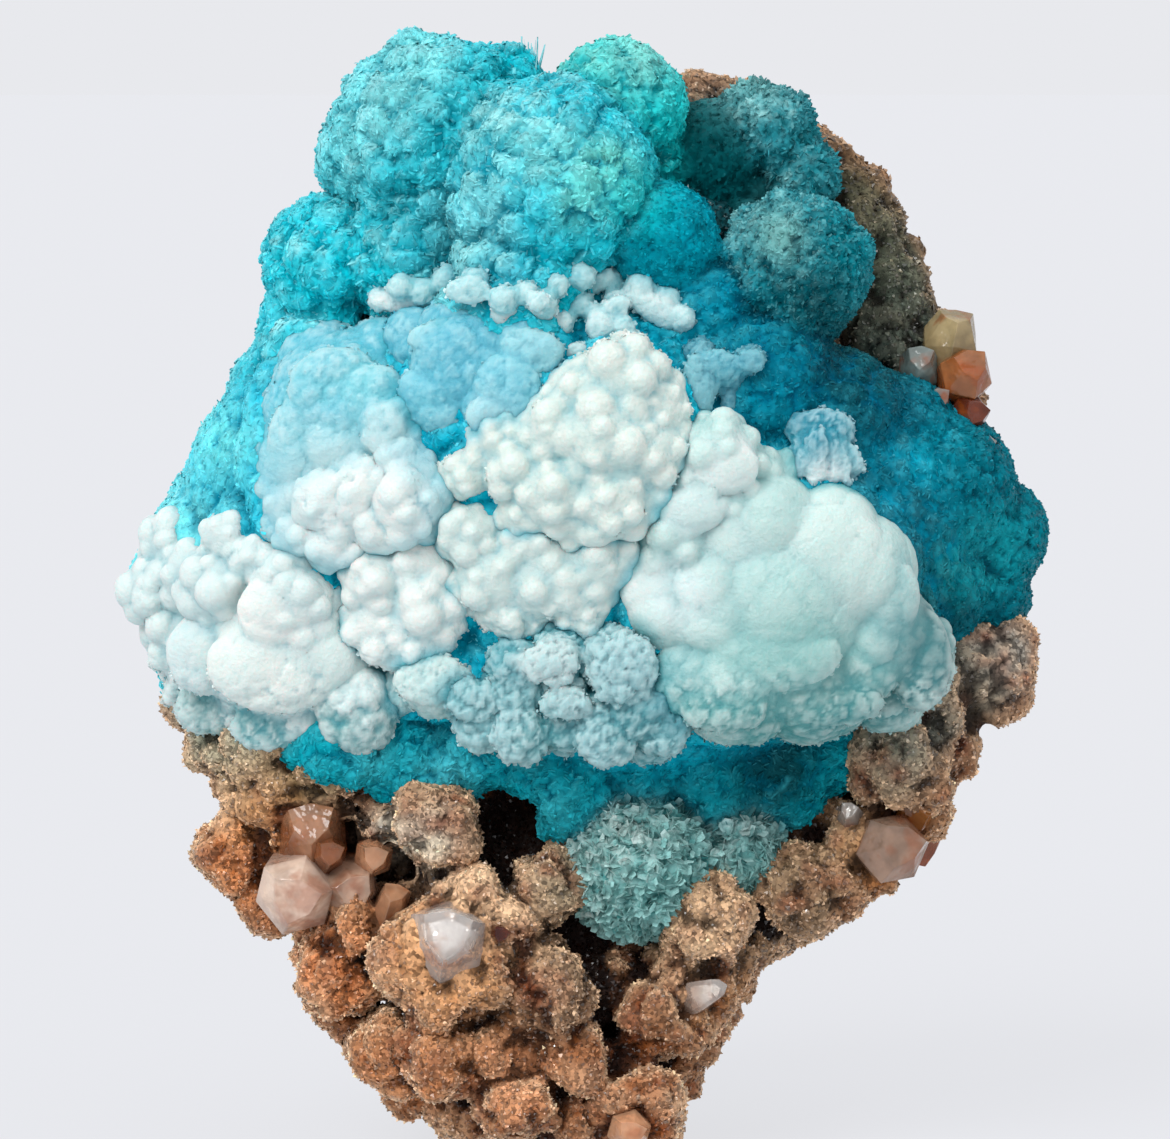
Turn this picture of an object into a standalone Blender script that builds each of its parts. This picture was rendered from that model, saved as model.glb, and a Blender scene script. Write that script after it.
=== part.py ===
"""Hemimorphite specimen: a cabinet-size lump of drusy brown rock, crusted in front with turquoise
hemimorphite balls, with paler knobby masses grown on the crust and quartz crystals set in the rock.

Metres, +Z up, -Y towards the viewer. The origin is the centre of the flat broken foot it stands on.
Lobes are listed in millimetres. Every grown mass is a set of round lobes fused into one skin.
"""

import math
import random

import bmesh
import bpy
from mathutils import Euler, Matrix, Vector

MM = 0.001

# Driving dimensions, in millimetres
FOOT_CUT = 0.0  # height of the flat broken face that it stands on
GROWTH_GAP = 0.8  # how far one piece's skin stays from the piece it grew on
LEAST_GAP = 0.4  # the least of it that merging small faces may leave
SOCKET_GAP = 0.4  # the same, round the root of a quartz crystal
MATRIX_GRAIN = 1.1  # size of the cells that the rock's lobes are fused in
CRUST_GRAIN = 1.0
PALE_GRAIN = 0.7

# How many triangles each skin is thinned to, and how many it has before it is cut to fit
MATRIX_TRIANGLES = 2300
CRUST_TRIANGLES = 2600
CRUST_UNCUT = 4200
PALE_UNCUT = 3  # times the number that each pale mass is thinned to

# Rounded cores of the rock: x, y, z, then half sizes along x, y and z
ROCK_CORES = (
    (0, 5, 70, 42, 18, 38),
    (1, 5, 99, 30, 15, 24),
    (29, 4, 66, 20, 14, 28),
    (-30, 4, 60, 17, 13, 24),
    (-7, 5, 37, 28, 15, 26),
    (17, 4, 41, 19, 13, 19),
    (-5, 4, 22, 20, 14.5, 18),
    (-1.2, 1.5, 5, 12.2, 16, 11),
)

# Sugar-coated knobs of the rock: x, y, z and radius
ROCK_KNOBS = (
    (-40.6, -3, 44.6, 4.8),
    (-41.6, -3, 36.8, 5.2),
    (-37.4, -3, 32.0, 4.6),
    (-36.0, -7, 43.5, 4.8),
    (-34.5, -6, 36.0, 5.4),
    (-29.6, -9, 22.8, 5.4),
    (-27.5, -10, 29.5, 5.2),
    (-29.8, -3, 18.6, 3.9),
    (-24.4, -4, 13.0, 4.1),
    (-22.6, -10, 13.4, 4.8),
    (-21.2, -6, 9.6, 3.8),
    (-16.2, -13, 26.2, 9.4),
    (-19.0, -14, 40.0, 5.0),
    (-24.6, -12, 40.4, 3.6),
    (-17.0, -14, 13.2, 5.0),
    (-14.4, -9, 6.6, 4.2),
    (-8.6, -14, 7.4, 4.6),
    (-11.0, -14, 14.4, 4.0),
    (-4.8, -13, 33.8, 4.8),
    (-5.4, -15, 21.2, 5.8),
    (-1.4, -14, 13.6, 4.2),
    (1.6, -9, 21.0, 4.4),
    (5.6, -13, 7.2, 5.2),
    (7.6, -11, 17.6, 5.0),
    (11.4, -10, 20.6, 5.0),
    (13.4, -12, 29.0, 5.6),
    (17.2, -6, 24.0, 4.2),
    (17.6, -3, 20.6, 2.8),
    (8.8, -3, 10.6, 4.4),
    (11.4, -3, 14.6, 4.2),
    (24.6, -8, 32.8, 5.0),
    (29.4, -7, 33.4, 4.4),
    (33.2, -6, 36.8, 5.4),
    (37.2, -7, 47.4, 6.2),
    (38.6, -3, 41.0, 4.6),
    (42.0, -3, 49.2, 5.2),
    (46.6, -2, 57.6, 6.2),
    (40.4, -5, 55.0, 5.8),
    (-47.4, 0, 53.6, 3.2),
    (-43.6, -3, 50.4, 4.6),
    (-38.5, -7, 49.5, 4.8),
    (-30.6, -9, 45.4, 5.2),
)

# The rock's thin stained rim that shows round the right shoulder
ROCK_RIM = (
    (12.5, 7, 122.2, 5.8),
    (19.5, 8, 121.2, 6.0),
    (26.2, 6, 116.6, 6.0),
    (31.6, 5, 111.0, 6.0),
    (33.6, 5, 105.0, 6.0),
    (35.0, 4, 98.6, 6.2),
    (39.6, 3, 95.0, 5.4),
    (41.6, 3, 89.6, 4.8),
)

# Rounded ledges of the back: x, y, z, half sizes, and a turn about Y in degrees
BACK_LEDGES = (
    (-14, 14, 98, 14, 8, 9, 18),
    (10, 15, 88, 16, 9, 10, -24),
    (-20, 15, 70, 15, 9, 9, 30),
    (-26, 10, 46, 13, 9, 8, 24),
    (30, 10, 78, 12, 9, 10, -8),
    (4, 12, 27, 13, 7, 8, -10),
)

# Blocks left standing where the back broke: x, y, z, half sizes, and turns about X, Y and Z
BACK_BLOCKS = (
    (-12, 16.5, 82, 13, 6.0, 9, 12, 15, -10),
    (13, 17.0, 69, 14, 5.5, 11, -14, -20, 10),
    (-18, 14.0, 57, 12, 6.0, 9, 10, 28, 16),
    (14, 12.0, 48, 13, 6.5, 9, -12, 10, -16),
    (12, 12.5, 103, 12, 6.0, 9, 16, -14, 18),
    (-6, 14.0, 37, 11, 5.5, 8, 14, -12, 8),
)
BACK_KNOBS = 34
BACK_KNOB_RADII = (2.4, 4.6)
BACK_KNOB_X = (-34, 34)
BACK_KNOB_Z = (12, 114)
BACK_SEED = 11

# Lumps that roughen the big balls: how many on each, and their radius as a share of the ball's
BALL_LUMPS = 22
LUMP_SHARE = (0.20, 0.30)
LUMP_SEED = 5

# Turquoise balls, flank and wing: x, y, z, radius
TOP_BALLS = (
    (-18.4, -4, 121.4, 11.4),
    (-10.8, -3, 127.8, 4.6),
    (-27.4, -4, 119.4, 4.6),
    (-4.9, -10, 116.2, 11.8),
    (3.2, -4, 125.2, 7.4),
    (4.8, -2, 118.6, 6.2),
    (-31.2, -3, 107.0, 7.0),
    (-20.0, -4, 108.5, 9.2),
    (-8.0, -12, 105.0, 8.2),
    (8.2, -11, 109.6, 6.6),
)
LEFT_FLANK = (
    (-34.6, -1, 100.6, 4.6),
    (-33.0, -1, 97.0, 6.6),
    (-37.2, 0, 91.0, 6.0),
    (-40.6, 0, 84.5, 6.2),
    (-44.4, 0, 77.0, 6.2),
    (-47.4, 0, 69.5, 5.4),
    (-45.6, 0, 61.0, 5.6),
)
BLUE_GROUND = (
    (0, -5, 84, 31, 17, 24),
    (-27, -2, 76, 22, 14.5, 22),
    (2, -5, 62, 30, 15.5, 19),
    (22, -4, 74, 24, 14.5, 24),
)
BLUE_HUMPS = (
    (19.8, -10, 92.6, 9.6),
    (28.6, -8, 88.2, 8.8),
    (14.0, -10, 101.0, 6.6),
    (25.0, -12, 79.6, 6.5),
)
SUGAR_BALLS = (
    (24.2, -9, 106.4, 8.6),
    (21.8, -1, 122.4, 5.0),
    (25.0, -1, 117.0, 4.6),
    (19.2, 0, 125.0, 3.4),
    (15.6, 4, 112.0, 8.0),
)
RIGHT_WING = (
    (36.6, -4, 87.6, 8.6),
    (41.0, -2, 80.4, 10.2),
    (42.4, 2, 86.6, 4.8),
    (48.2, 1, 74.2, 6.7),
    (46.6, 1, 67.4, 6.4),
    (40.0, -3, 68.0, 7.8),
    (36.6, -3, 58.0, 6.8),
)
LOWER_LOBES = (
    (-20.4, -8, 47.6, 7.2),
    (-28.6, -8, 50.0, 6.4),
    (-13.2, -9, 51.0, 7.2),
    (-3.6, -10, 45.6, 7.4),
    (6.0, -8, 46.6, 7.0),
    (14.0, -7, 46.0, 7.0),
    (21.6, -4, 46.4, 8.0),
    (28.4, -3, 50.4, 7.2),
    (5.6, -10, 36.0, 8.8),
    (17.4, -8, 37.6, 5.4),
)

# Pale masses: x, how far forward of the ground the centre stands, z, radius
TOP_CHAIN = (
    (-24.6, 0.8, 102.8, 2.2),
    (-22.2, 1.0, 104.4, 2.3),
    (-19.6, 0.8, 103.8, 2.5),
    (-16.6, 0.8, 105.2, 2.6),
    (-13.4, 0.8, 105.0, 2.6),
    (-10.0, 1.0, 103.2, 2.4),
    (-7.4, 0.8, 104.0, 2.0),
    (-5.4, 1.0, 102.6, 2.3),
    (-3.4, 0.9, 100.4, 2.2),
    (-3.8, 0.6, 104.8, 2.0),
    (-1.0, 0.8, 105.8, 2.3),
    (2.2, 0.9, 105.0, 2.5),
    (5.8, 0.9, 104.4, 2.6),
    (8.8, 0.9, 102.8, 2.5),
    (10.8, 0.9, 100.8, 2.2),
    (0.8, 0.8, 101.0, 2.0),
    (3.8, 0.8, 99.8, 2.0),
    (-1.2, 0.4, 102.4, 2.4),
    (3.0, 0.4, 102.4, 2.4),
)
UPPER_LEFT_DOME = (
    (-28.4, -5.0, 88.0, 10.8),
    (-32.8, -3.4, 84.0, 7.2),
    (-31.6, -2.0, 94.8, 5.4),
    (-24.0, -2.6, 95.0, 5.4),
    (-34.8, -1.0, 78.8, 4.0),
    (-23.6, 2.4, 88.6, 3.6),
    (-22.0, 2.2, 83.4, 3.6),
    (-26.8, 3.4, 81.4, 3.4),
    (-21.2, 3.2, 79.6, 4.4),
    (-24.8, 2.6, 76.8, 3.2),
    (-31.2, 3.4, 79.6, 3.2),
    (-29.8, 2.0, 74.6, 3.0),
    (-33.8, 1.6, 75.6, 2.6),
    (-28.4, 1.0, 77.8, 4.2),
)
UPPER_CENTRE_DOME = (
    (-13.8, -3.2, 96.0, 7.6),
    (-17.4, -1.4, 90.8, 5.0),
    (-10.0, -1.4, 90.6, 5.2),
    (-7.8, -0.4, 97.0, 4.4),
    (-20.0, -1.0, 97.4, 4.4),
)
WHITE_MASS_CENTRE = (
    (3.6, 1.6, 93.6, 5.0),
    (7.2, 0.6, 90.0, 4.4),
    (-1.4, 1.0, 91.6, 4.2),
    (6.4, 1.8, 85.6, 4.4),
    (1.4, 2.2, 87.2, 5.2),
    (-3.8, 1.8, 88.0, 4.0),
    (-8.4, 1.4, 83.4, 3.8),
    (-4.2, 2.0, 81.0, 4.4),
    (2.4, 2.2, 80.2, 4.6),
    (-1.0, 1.6, 78.0, 3.4),
    (-10.4, 0.8, 87.0, 3.4),
    (-13.8, 1.0, 83.2, 3.0),
    (6.6, 1.4, 80.4, 3.2),
    (-7.6, 1.6, 78.6, 3.0),
)
LOW_CENTRE_MASS = (
    (-13.8, 1.4, 76.0, 3.6),
    (-10.8, 1.8, 71.0, 4.7),
    (-15.0, 1.2, 68.8, 3.2),
    (-5.4, 2.0, 70.4, 4.6),
    (0.6, 1.6, 72.2, 3.9),
    (3.8, 1.4, 73.6, 2.8),
    (-7.0, 1.4, 74.8, 3.4),
    (-1.2, 1.2, 67.6, 3.4),
    (-9.0, 0.8, 66.6, 3.4),
)
WHITE_PAIR = (
    (-25.2, 1.8, 70.4, 3.8),
    (-19.8, 2.0, 72.2, 3.7),
    (-24.6, 1.8, 65.2, 4.2),
    (-19.2, 2.4, 67.4, 4.6),
    (-20.2, 1.6, 62.6, 4.0),
)
PALE_SHELF = (
    (-18.0, 1.0, 58.0, 4.4),
    (-22.0, 0.6, 56.8, 3.4),
    (-14.4, 0.6, 56.6, 3.4),
)
LEFT_CLOUD = (
    (-36.4, -2.2, 61.8, 9.8),
    (-31.0, -0.6, 60.4, 7.0),
    (-43.0, -1.4, 61.6, 6.6),
    (-47.2, 0.6, 62.6, 5.2),
    (-50.6, 1.0, 68.2, 4.5),
    (-48.6, 0.6, 73.0, 4.4),
    (-46.2, 1.4, 70.0, 4.2),
    (-42.8, 1.6, 69.0, 4.6),
    (-42.6, 1.2, 75.2, 2.5),
    (-39.8, 1.4, 72.6, 2.6),
    (-36.0, 1.6, 70.6, 3.4),
    (-34.2, 1.2, 67.4, 4.8),
    (-40.8, -0.6, 55.0, 6.0),
    (-46.0, 0.4, 56.6, 4.2),
    (-33.6, 0.4, 53.2, 5.6),
    (-27.0, 1.0, 55.4, 5.2),
)
RIGHT_CLOUD = (
    (22.0, -3.5, 68.0, 12.2),
    (13.4, 0.2, 69.6, 7.6),
    (30.8, -0.4, 71.2, 7.4),
    (33.8, 0.6, 64.0, 6.8),
    (25.4, 0.6, 58.4, 7.6),
    (16.6, 0.2, 58.6, 7.4),
    (20.4, 1.0, 77.2, 6.2),
    (28.0, 0.6, 76.2, 5.6),
    (8.6, 0.6, 66.8, 4.8),
    (38.2, 1.8, 60.8, 4.6),
    (35.0, 2.2, 56.4, 4.8),
    (28.0, 2.0, 54.0, 4.8),
    (18.6, 2.0, 53.0, 4.8),
    (15.0, 2.0, 85.4, 4.3),
    (18.8, 1.6, 83.2, 2.8),
    (22.4, 1.2, 83.6, 2.0),
    (12.2, 1.6, 80.2, 3.8),
    (17.2, 1.6, 80.0, 3.9),
    (10.0, 1.0, 75.0, 4.6),
)
LOW_ROSETTES = (
    (-3.6, 1.4, 62.2, 3.7),
    (-3.0, 1.4, 57.6, 3.2),
    (2.4, 1.2, 61.6, 4.4),
    (-8.4, 1.0, 60.6, 4.2),
    (-13.0, 1.0, 55.8, 4.0),
    (-8.4, 1.0, 53.2, 4.5),
    (1.2, 1.0, 52.8, 5.0),
    (-3.6, 0.6, 51.0, 4.0),
    (6.8, 1.0, 49.8, 4.0),
    (7.2, 1.0, 55.8, 4.8),
)
PALE_FAN = (
    (24.6, 0.4, 88.0, 2.6),
    (28.6, 0.4, 87.6, 2.9),
    (26.0, 0.6, 84.8, 2.8),
    (29.6, 0.6, 83.6, 2.6),
    (27.6, 0.4, 86.2, 3.0),
)
PALE_PATCHES = (
    (12.8, 0.3, 96.6, 2.4),
    (13.6, 0.3, 93.4, 2.4),
    (16.2, 0.3, 94.6, 2.4),
    (18.6, 0.3, 96.0, 2.2),
)

# Quartz: name, root, way it points, width, length, share of the length in the point, turn in degrees
QUARTZ = (
    ("smoky_quartz_pair", (-33.2, -4, 34.4), (-0.14, -1.0, -0.16), 10.4, 12.6, 0.28, 12),
    ("smoky_quartz_pair", (-31.8, -4, 38.2), (-0.10, -1.0, 0.26), 8.6, 12.0, 0.26, 40),
    ("small_smoky_quartz", (-25.8, -5, 36.4), (0.02, -1.0, 0.05), 5.0, 12.0, 0.36, 20),
    ("smoky_quartz_point", (-24.2, -10, 26.6), (0.10, -0.66, 0.75), 5.2, 10.0, 0.50, 5),
    ("clear_quartz_point", (-16.0, -11, 25.8), (-0.10, -1.0, 0.24), 10.2, 15.0, 0.34, 24),
    ("foot_quartz", (4.6, -10, 5.2), (0.0, -1.0, -0.06), 5.4, 9.8, 0.24, 15),
    ("slender_quartz", (9.6, -9, 18.6), (0.55, -0.75, 0.30), 4.4, 11.0, 0.46, 10),
    ("stained_quartz_right", (34.6, -4, 36.8), (0.20, -1.0, 0.12), 8.8, 10.0, 0.28, 8),
    ("edge_quartz_right", (39.2, 2.4, 34.6), (0.34, -0.30, 0.90), 4.8, 11.0, 0.40, 30),
    ("orange_quartz_top", (42.4, 1, 91.0), (0.06, -0.46, 0.88), 9.0, 11.6, 0.26, 18),
    ("white_quartz_wing", (43.6, 0, 85.6), (0.40, -0.66, 0.40), 5.4, 7.4, 0.24, 0),
)

# A crystal's shape, in shares: its blunt root and where it is full, how much lower
# every second shoulder sits, and how far off its axis the tip stands
ROOT_WIDTH = 0.8
FULL_BY = 0.2
SHOULDER_DROP = 0.10
TIP_OFFSET = (0.16, 0.08)

# The pale masses in the order they are seated, with about how many triangles each has
PALE_MASSES = (
    ("white_mass_centre", WHITE_MASS_CENTRE, 400),
    ("upper_left_dome", UPPER_LEFT_DOME, 400),
    ("upper_centre_dome", UPPER_CENTRE_DOME, 200),
    ("white_pair", WHITE_PAIR, 200),
    ("low_centre_mass", LOW_CENTRE_MASS, 280),
    ("right_cloud", RIGHT_CLOUD, 560),
    ("left_cloud", LEFT_CLOUD, 480),
    ("top_knob_chain", TOP_CHAIN, 360),
    ("pale_shelf", PALE_SHELF, 120),
    ("low_rosettes", LOW_ROSETTES, 300),
    ("pale_fan", PALE_FAN, 110),
    ("pale_patches", PALE_PATCHES, 100),
)

FINISH = {
    "matrix": ((0.27, 0.13, 0.06), 0.75),
    "turquoise_crust": ((0.02, 0.36, 0.42), 0.35),
    "pale": ((0.60, 0.78, 0.76), 0.45),
    "quartz": ((0.46, 0.36, 0.30), 0.10),
}


def clear_scene():
    for old in list(bpy.data.objects):
        bpy.data.objects.remove(old)


def finish_of(name, kind):
    colour, roughness = FINISH[kind]
    material = bpy.data.materials.new(name)
    material.use_nodes = True
    shader = material.node_tree.nodes["Principled BSDF"]
    shader.inputs["Base Color"].default_value = (*colour, 1.0)
    shader.inputs["Roughness"].default_value = roughness
    shader.inputs["Metallic"].default_value = 0.0
    return material


def add_object(name, mesh):
    made = bpy.data.objects.new(name, mesh)
    bpy.context.scene.collection.objects.link(made)
    return made


def fullest(lobe):
    """A lobe as centre, half sizes and turn, whether it was given as a ball or as an ellipsoid."""
    centre = lobe[:3]
    sizes = lobe[3:6] if len(lobe) > 4 else (lobe[3],) * 3
    turn = lobe[6] if len(lobe) > 6 else 0.0
    return centre, sizes, turn


def front_of(lobes, x, z):
    """Y of the foremost skin of a set of lobes at x and z, or None where none of them is."""
    found = []
    for lobe in lobes:
        (cx, cy, cz), (rx, ry, rz), _ = fullest(lobe)
        left = 1.0 - ((x - cx) / rx) ** 2 - ((z - cz) / rz) ** 2
        if left > 0.0:
            found.append(cy - ry * math.sqrt(left))
    return min(found, default=None)


def seated(knobs, ground):
    """Balls whose centres stand the given distance in front of the ground behind them."""
    placed = []
    for x, forward, z, radius in knobs:
        skin = front_of(ground, x, z)
        placed.append((x, (0.0 if skin is None else skin) - forward, z, radius))
    return placed


def add_lobe(bm, lobe):
    centre, sizes, turn = fullest(lobe)
    steps = 2 if max(sizes) < 6 else 3 if max(sizes) < 16 else 4
    place = (
        Matrix.Translation(Vector(centre) * MM)
        @ Matrix.Rotation(math.radians(turn), 4, "Y")
        @ Matrix.Diagonal((*(size * MM for size in sizes), 1.0))
    )
    bmesh.ops.create_icosphere(bm, subdivisions=steps, radius=1.0, matrix=place)


def add_block(bm, block):
    centre, halves, turns = block[:3], block[3:6], block[6:]
    place = (
        Matrix.Translation(Vector(centre) * MM)
        @ Euler([math.radians(turn) for turn in turns]).to_matrix().to_4x4()
        @ Matrix.Diagonal((*(2 * half * MM for half in halves), 1.0))
    )
    bmesh.ops.create_cube(bm, size=1.0, matrix=place)


def settle(shape):
    """Makes an object's modifiers part of its mesh."""
    graph = bpy.context.evaluated_depsgraph_get()
    mesh = bpy.data.meshes.new_from_object(shape.evaluated_get(graph))
    shape.modifiers.clear()
    shape.data = mesh


def triangle_count(mesh):
    return sum(len(face.vertices) - 2 for face in mesh.polygons)


def thin_out(shape, triangles):
    """Merges small faces until about that many triangles are left."""
    have = triangle_count(shape.data)
    if have > triangles:
        fewer = shape.modifiers.new("fewer", "DECIMATE")
        fewer.ratio = triangles / have
        settle(shape)


def grown(name, lobes, grain, triangles, blocks=()):
    """One closed skin round all the lobes and blocks, in about that many triangles."""
    bm = bmesh.new()
    for lobe in lobes:
        add_lobe(bm, lobe)
    for block in blocks:
        add_block(bm, block)
    mesh = bpy.data.meshes.new(name)
    bm.to_mesh(mesh)
    bm.free()
    shape = add_object(name, mesh)
    fuse = shape.modifiers.new("fuse", "REMESH")
    fuse.mode = "VOXEL"
    fuse.voxel_size = grain * MM
    settle(shape)
    thin_out(shape, triangles)
    return shape


def cut_by(shape, cutter, solver="EXACT"):
    cut = shape.modifiers.new("cut", "BOOLEAN")
    cut.operation = "DIFFERENCE"
    cut.solver = solver
    cut.object = cutter
    settle(shape)


def clearance_of(shape, gap):
    """A helper copy of a piece, swollen by the gap, that cuts its room out of a neighbour."""
    helper = add_object(shape.name + "_room", shape.data.copy())
    helper.hide_render = True
    helper.display_type = "WIRE"
    swell = helper.modifiers.new("swell", "DISPLACE")
    swell.mid_level = 0.0
    swell.strength = gap * MM
    settle(helper)
    return helper


def keep_largest_body(shape):
    """Drops the crumbs that a cut leaves beside the main body."""
    bm = bmesh.new()
    bm.from_mesh(shape.data)
    unseen = set(bm.verts)
    bodies = []
    while unseen:
        stack = [unseen.pop()]
        body = set(stack)
        while stack:
            for edge in stack.pop().link_edges:
                for end in edge.verts:
                    if end in unseen:
                        unseen.remove(end)
                        body.add(end)
                        stack.append(end)
        bodies.append(body)
    bodies.sort(key=len)
    crumbs = [point for body in bodies[:-1] for point in body]
    bmesh.ops.delete(bm, geom=crumbs, context="VERTS")
    bmesh.ops.triangulate(bm, faces=bm.faces)
    bm.to_mesh(shape.data)
    bm.free()


def cut_back(shape, neighbours, gap):
    """Cuts a grown mass back from its neighbours. Exact cuts fail on these creased skins."""
    for neighbour in neighbours:
        helper = clearance_of(neighbour, gap)
        cut_by(shape, helper, "MANIFOLD")
        bpy.data.objects.remove(helper)
    keep_largest_body(shape)


def make_room(shape, neighbours, triangles):
    """Seats a grown mass on its neighbours. Merging small faces moves the skin, so it is cut twice."""
    cut_back(shape, neighbours, GROWTH_GAP)
    thin_out(shape, triangles)
    cut_back(shape, neighbours, LEAST_GAP)


def cut_foot_flat(shape):
    """The flat broken face at the bottom, which the specimen stands on."""
    bm = bmesh.new()
    side = 90 * MM
    place = Matrix.Translation((0, 0, FOOT_CUT * MM - side / 2))
    bmesh.ops.create_cube(bm, size=side, matrix=place)
    mesh = bpy.data.meshes.new("below_foot")
    bm.to_mesh(mesh)
    bm.free()
    below = add_object("below_foot", mesh)
    below.hide_render = True
    cut_by(shape, below)
    bpy.data.objects.remove(below)
    keep_largest_body(shape)


def lumpy(balls):
    """The balls with smaller lumps set evenly round each one, each set turned by chance."""
    chance = random.Random(LUMP_SEED)
    lumps = []
    for x, y, z, radius in balls:
        spin = chance.uniform(0, math.tau)
        for step in range(BALL_LUMPS):
            height = 1 - 2 * (step + 0.5) / BALL_LUMPS
            across = math.sqrt(1 - height * height)
            angle = spin + step * math.tau / ((1 + math.sqrt(5)) / 2)
            size = radius * chance.uniform(*LUMP_SHARE)
            reach = radius - 0.5 * size
            lumps.append((
                x + reach * across * math.cos(angle),
                y + reach * across * math.sin(angle),
                z + reach * height,
                size,
            ))
    return [*balls, *lumps]


def back_knobs():
    """Small lumps scattered over the broken back, always in the same places."""
    chance = random.Random(BACK_SEED)
    mirrored = [(x, -y, z, *sizes) for x, y, z, *sizes in ROCK_CORES]
    knobs = []
    while len(knobs) < BACK_KNOBS:
        x = chance.uniform(*BACK_KNOB_X)
        z = chance.uniform(*BACK_KNOB_Z)
        skin = front_of(mirrored, x, z)
        if skin is not None:
            knobs.append((x, -skin, z, chance.uniform(*BACK_KNOB_RADII)))
    return knobs


def crystal_mesh(name, root, way, width, length, point_share, turn, grow):
    """A six-sided quartz prism with an uneven six-faced point and a blunt root."""
    bm = bmesh.new()
    radius = width / 2 + grow
    place = (
        Matrix.Translation(Vector(root) * MM)
        @ Vector(way).to_track_quat("Z", "Y").to_matrix().to_4x4()
        @ Matrix.Rotation(math.radians(turn), 4, "Z")
        @ Matrix.Scale(MM, 4)
    )
    rings = []
    for height, across, drop in (
        (-grow, radius * ROOT_WIDTH, 0.0),
        (length * FULL_BY, radius, 0.0),
        (length * (1 - point_share), radius, length * SHOULDER_DROP),
    ):
        ring = []
        for side in range(6):
            angle = math.tau * side / 6
            level = height - drop * (side % 2)
            spot = Vector((across * math.cos(angle), across * math.sin(angle), level))
            ring.append(bm.verts.new(place @ spot))
        rings.append(ring)
    aside, back = (radius * share for share in TIP_OFFSET)
    tip = bm.verts.new(place @ Vector((aside, back, length + grow)))
    for lower, upper in zip(rings, rings[1:]):
        for side in range(6):
            after = (side + 1) % 6
            bm.faces.new((lower[side], lower[after], upper[after], upper[side]))
    for side in range(6):
        bm.faces.new((rings[-1][side], rings[-1][(side + 1) % 6], tip))
    bm.faces.new(reversed(rings[0]))
    bmesh.ops.triangulate(bm, faces=bm.faces)
    mesh = bpy.data.meshes.new(name)
    bm.to_mesh(mesh)
    bm.free()
    return mesh


def joined(shape, other):
    join = shape.modifiers.new("join", "BOOLEAN")
    join.operation = "UNION"
    join.solver = "EXACT"
    join.object = other
    settle(shape)
    bpy.data.objects.remove(other)


def quartz_group(name, grow):
    """All crystals of one name, fused, each larger by grow all round."""
    whole = None
    for crystal in QUARTZ:
        if crystal[0] != name:
            continue
        one = add_object(name, crystal_mesh(*crystal, grow))
        if whole is None:
            whole = one
        else:
            joined(whole, one)
    return whole


def build():
    clear_scene()
    rock_lobes = (*ROCK_CORES, *ROCK_KNOBS, *ROCK_RIM, *BACK_LEDGES, *back_knobs())
    crust_lobes = (
        *lumpy(TOP_BALLS), *LEFT_FLANK, *BLUE_GROUND, *BLUE_HUMPS,
        *lumpy(SUGAR_BALLS), *RIGHT_WING, *LOWER_LOBES,
    )
    ground = (*ROCK_CORES, *crust_lobes)

    matrix = grown("matrix", rock_lobes, MATRIX_GRAIN, MATRIX_TRIANGLES, BACK_BLOCKS)
    cut_foot_flat(matrix)
    quartz_names = list(dict.fromkeys(crystal[0] for crystal in QUARTZ))
    for name in quartz_names:
        socket = quartz_group(name, SOCKET_GAP)
        cut_by(matrix, socket)
        bpy.data.objects.remove(socket)
    keep_largest_body(matrix)

    crust = grown("turquoise_crust", crust_lobes, CRUST_GRAIN, CRUST_UNCUT)
    quartzes = [quartz_group(name, 0.0) for name in quartz_names]
    make_room(crust, [*quartzes, matrix], CRUST_TRIANGLES)

    pale = []
    for name, knobs, triangles in PALE_MASSES:
        mass = grown(name, seated(knobs, ground), PALE_GRAIN, PALE_UNCUT * triangles)
        make_room(mass, [*pale, matrix, crust], triangles)
        pale.append(mass)

    matrix.data.materials.append(finish_of("drusy_rock", "matrix"))
    crust.data.materials.append(finish_of("turquoise_hemimorphite", "turquoise_crust"))
    for mass in pale:
        mass.data.materials.append(finish_of(mass.name + "_hemimorphite", "pale"))
    for crystal in quartzes:
        crystal.data.materials.append(finish_of(crystal.name + "_crystal", "quartz"))


build()
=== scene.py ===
"""Looks of the hemimorphite specimen: sugary turquoise and white botryoids with fine blades, brown drusy
rock with quartz crystals in it, a pale floor and soft studio light.

Lobes, sizes and distances are in millimetres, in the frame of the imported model: +Z up, -Y to the viewer.
Each skin is fused from round lobes, pushed out into cobbles or knobs, tinted point by point, and then
set with small crystals.
"""

import functools
import itertools
import math
import random
from typing import NamedTuple

import bmesh
import bpy
import numpy as np
from mathutils import Euler, Matrix, Vector


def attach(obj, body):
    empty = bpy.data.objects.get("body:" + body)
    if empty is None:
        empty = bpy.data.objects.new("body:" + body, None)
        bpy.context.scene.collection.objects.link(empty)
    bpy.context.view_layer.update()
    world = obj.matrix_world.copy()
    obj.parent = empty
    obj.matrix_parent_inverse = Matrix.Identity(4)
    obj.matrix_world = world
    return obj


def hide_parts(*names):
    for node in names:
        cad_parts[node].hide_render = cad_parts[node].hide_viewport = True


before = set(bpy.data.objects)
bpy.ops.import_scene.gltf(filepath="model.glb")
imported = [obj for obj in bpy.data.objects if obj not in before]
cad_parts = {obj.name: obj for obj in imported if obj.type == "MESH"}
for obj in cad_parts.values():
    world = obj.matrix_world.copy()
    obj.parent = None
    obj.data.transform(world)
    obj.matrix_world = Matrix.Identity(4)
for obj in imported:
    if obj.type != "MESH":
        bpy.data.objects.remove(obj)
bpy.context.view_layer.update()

MM = 0.001

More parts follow.
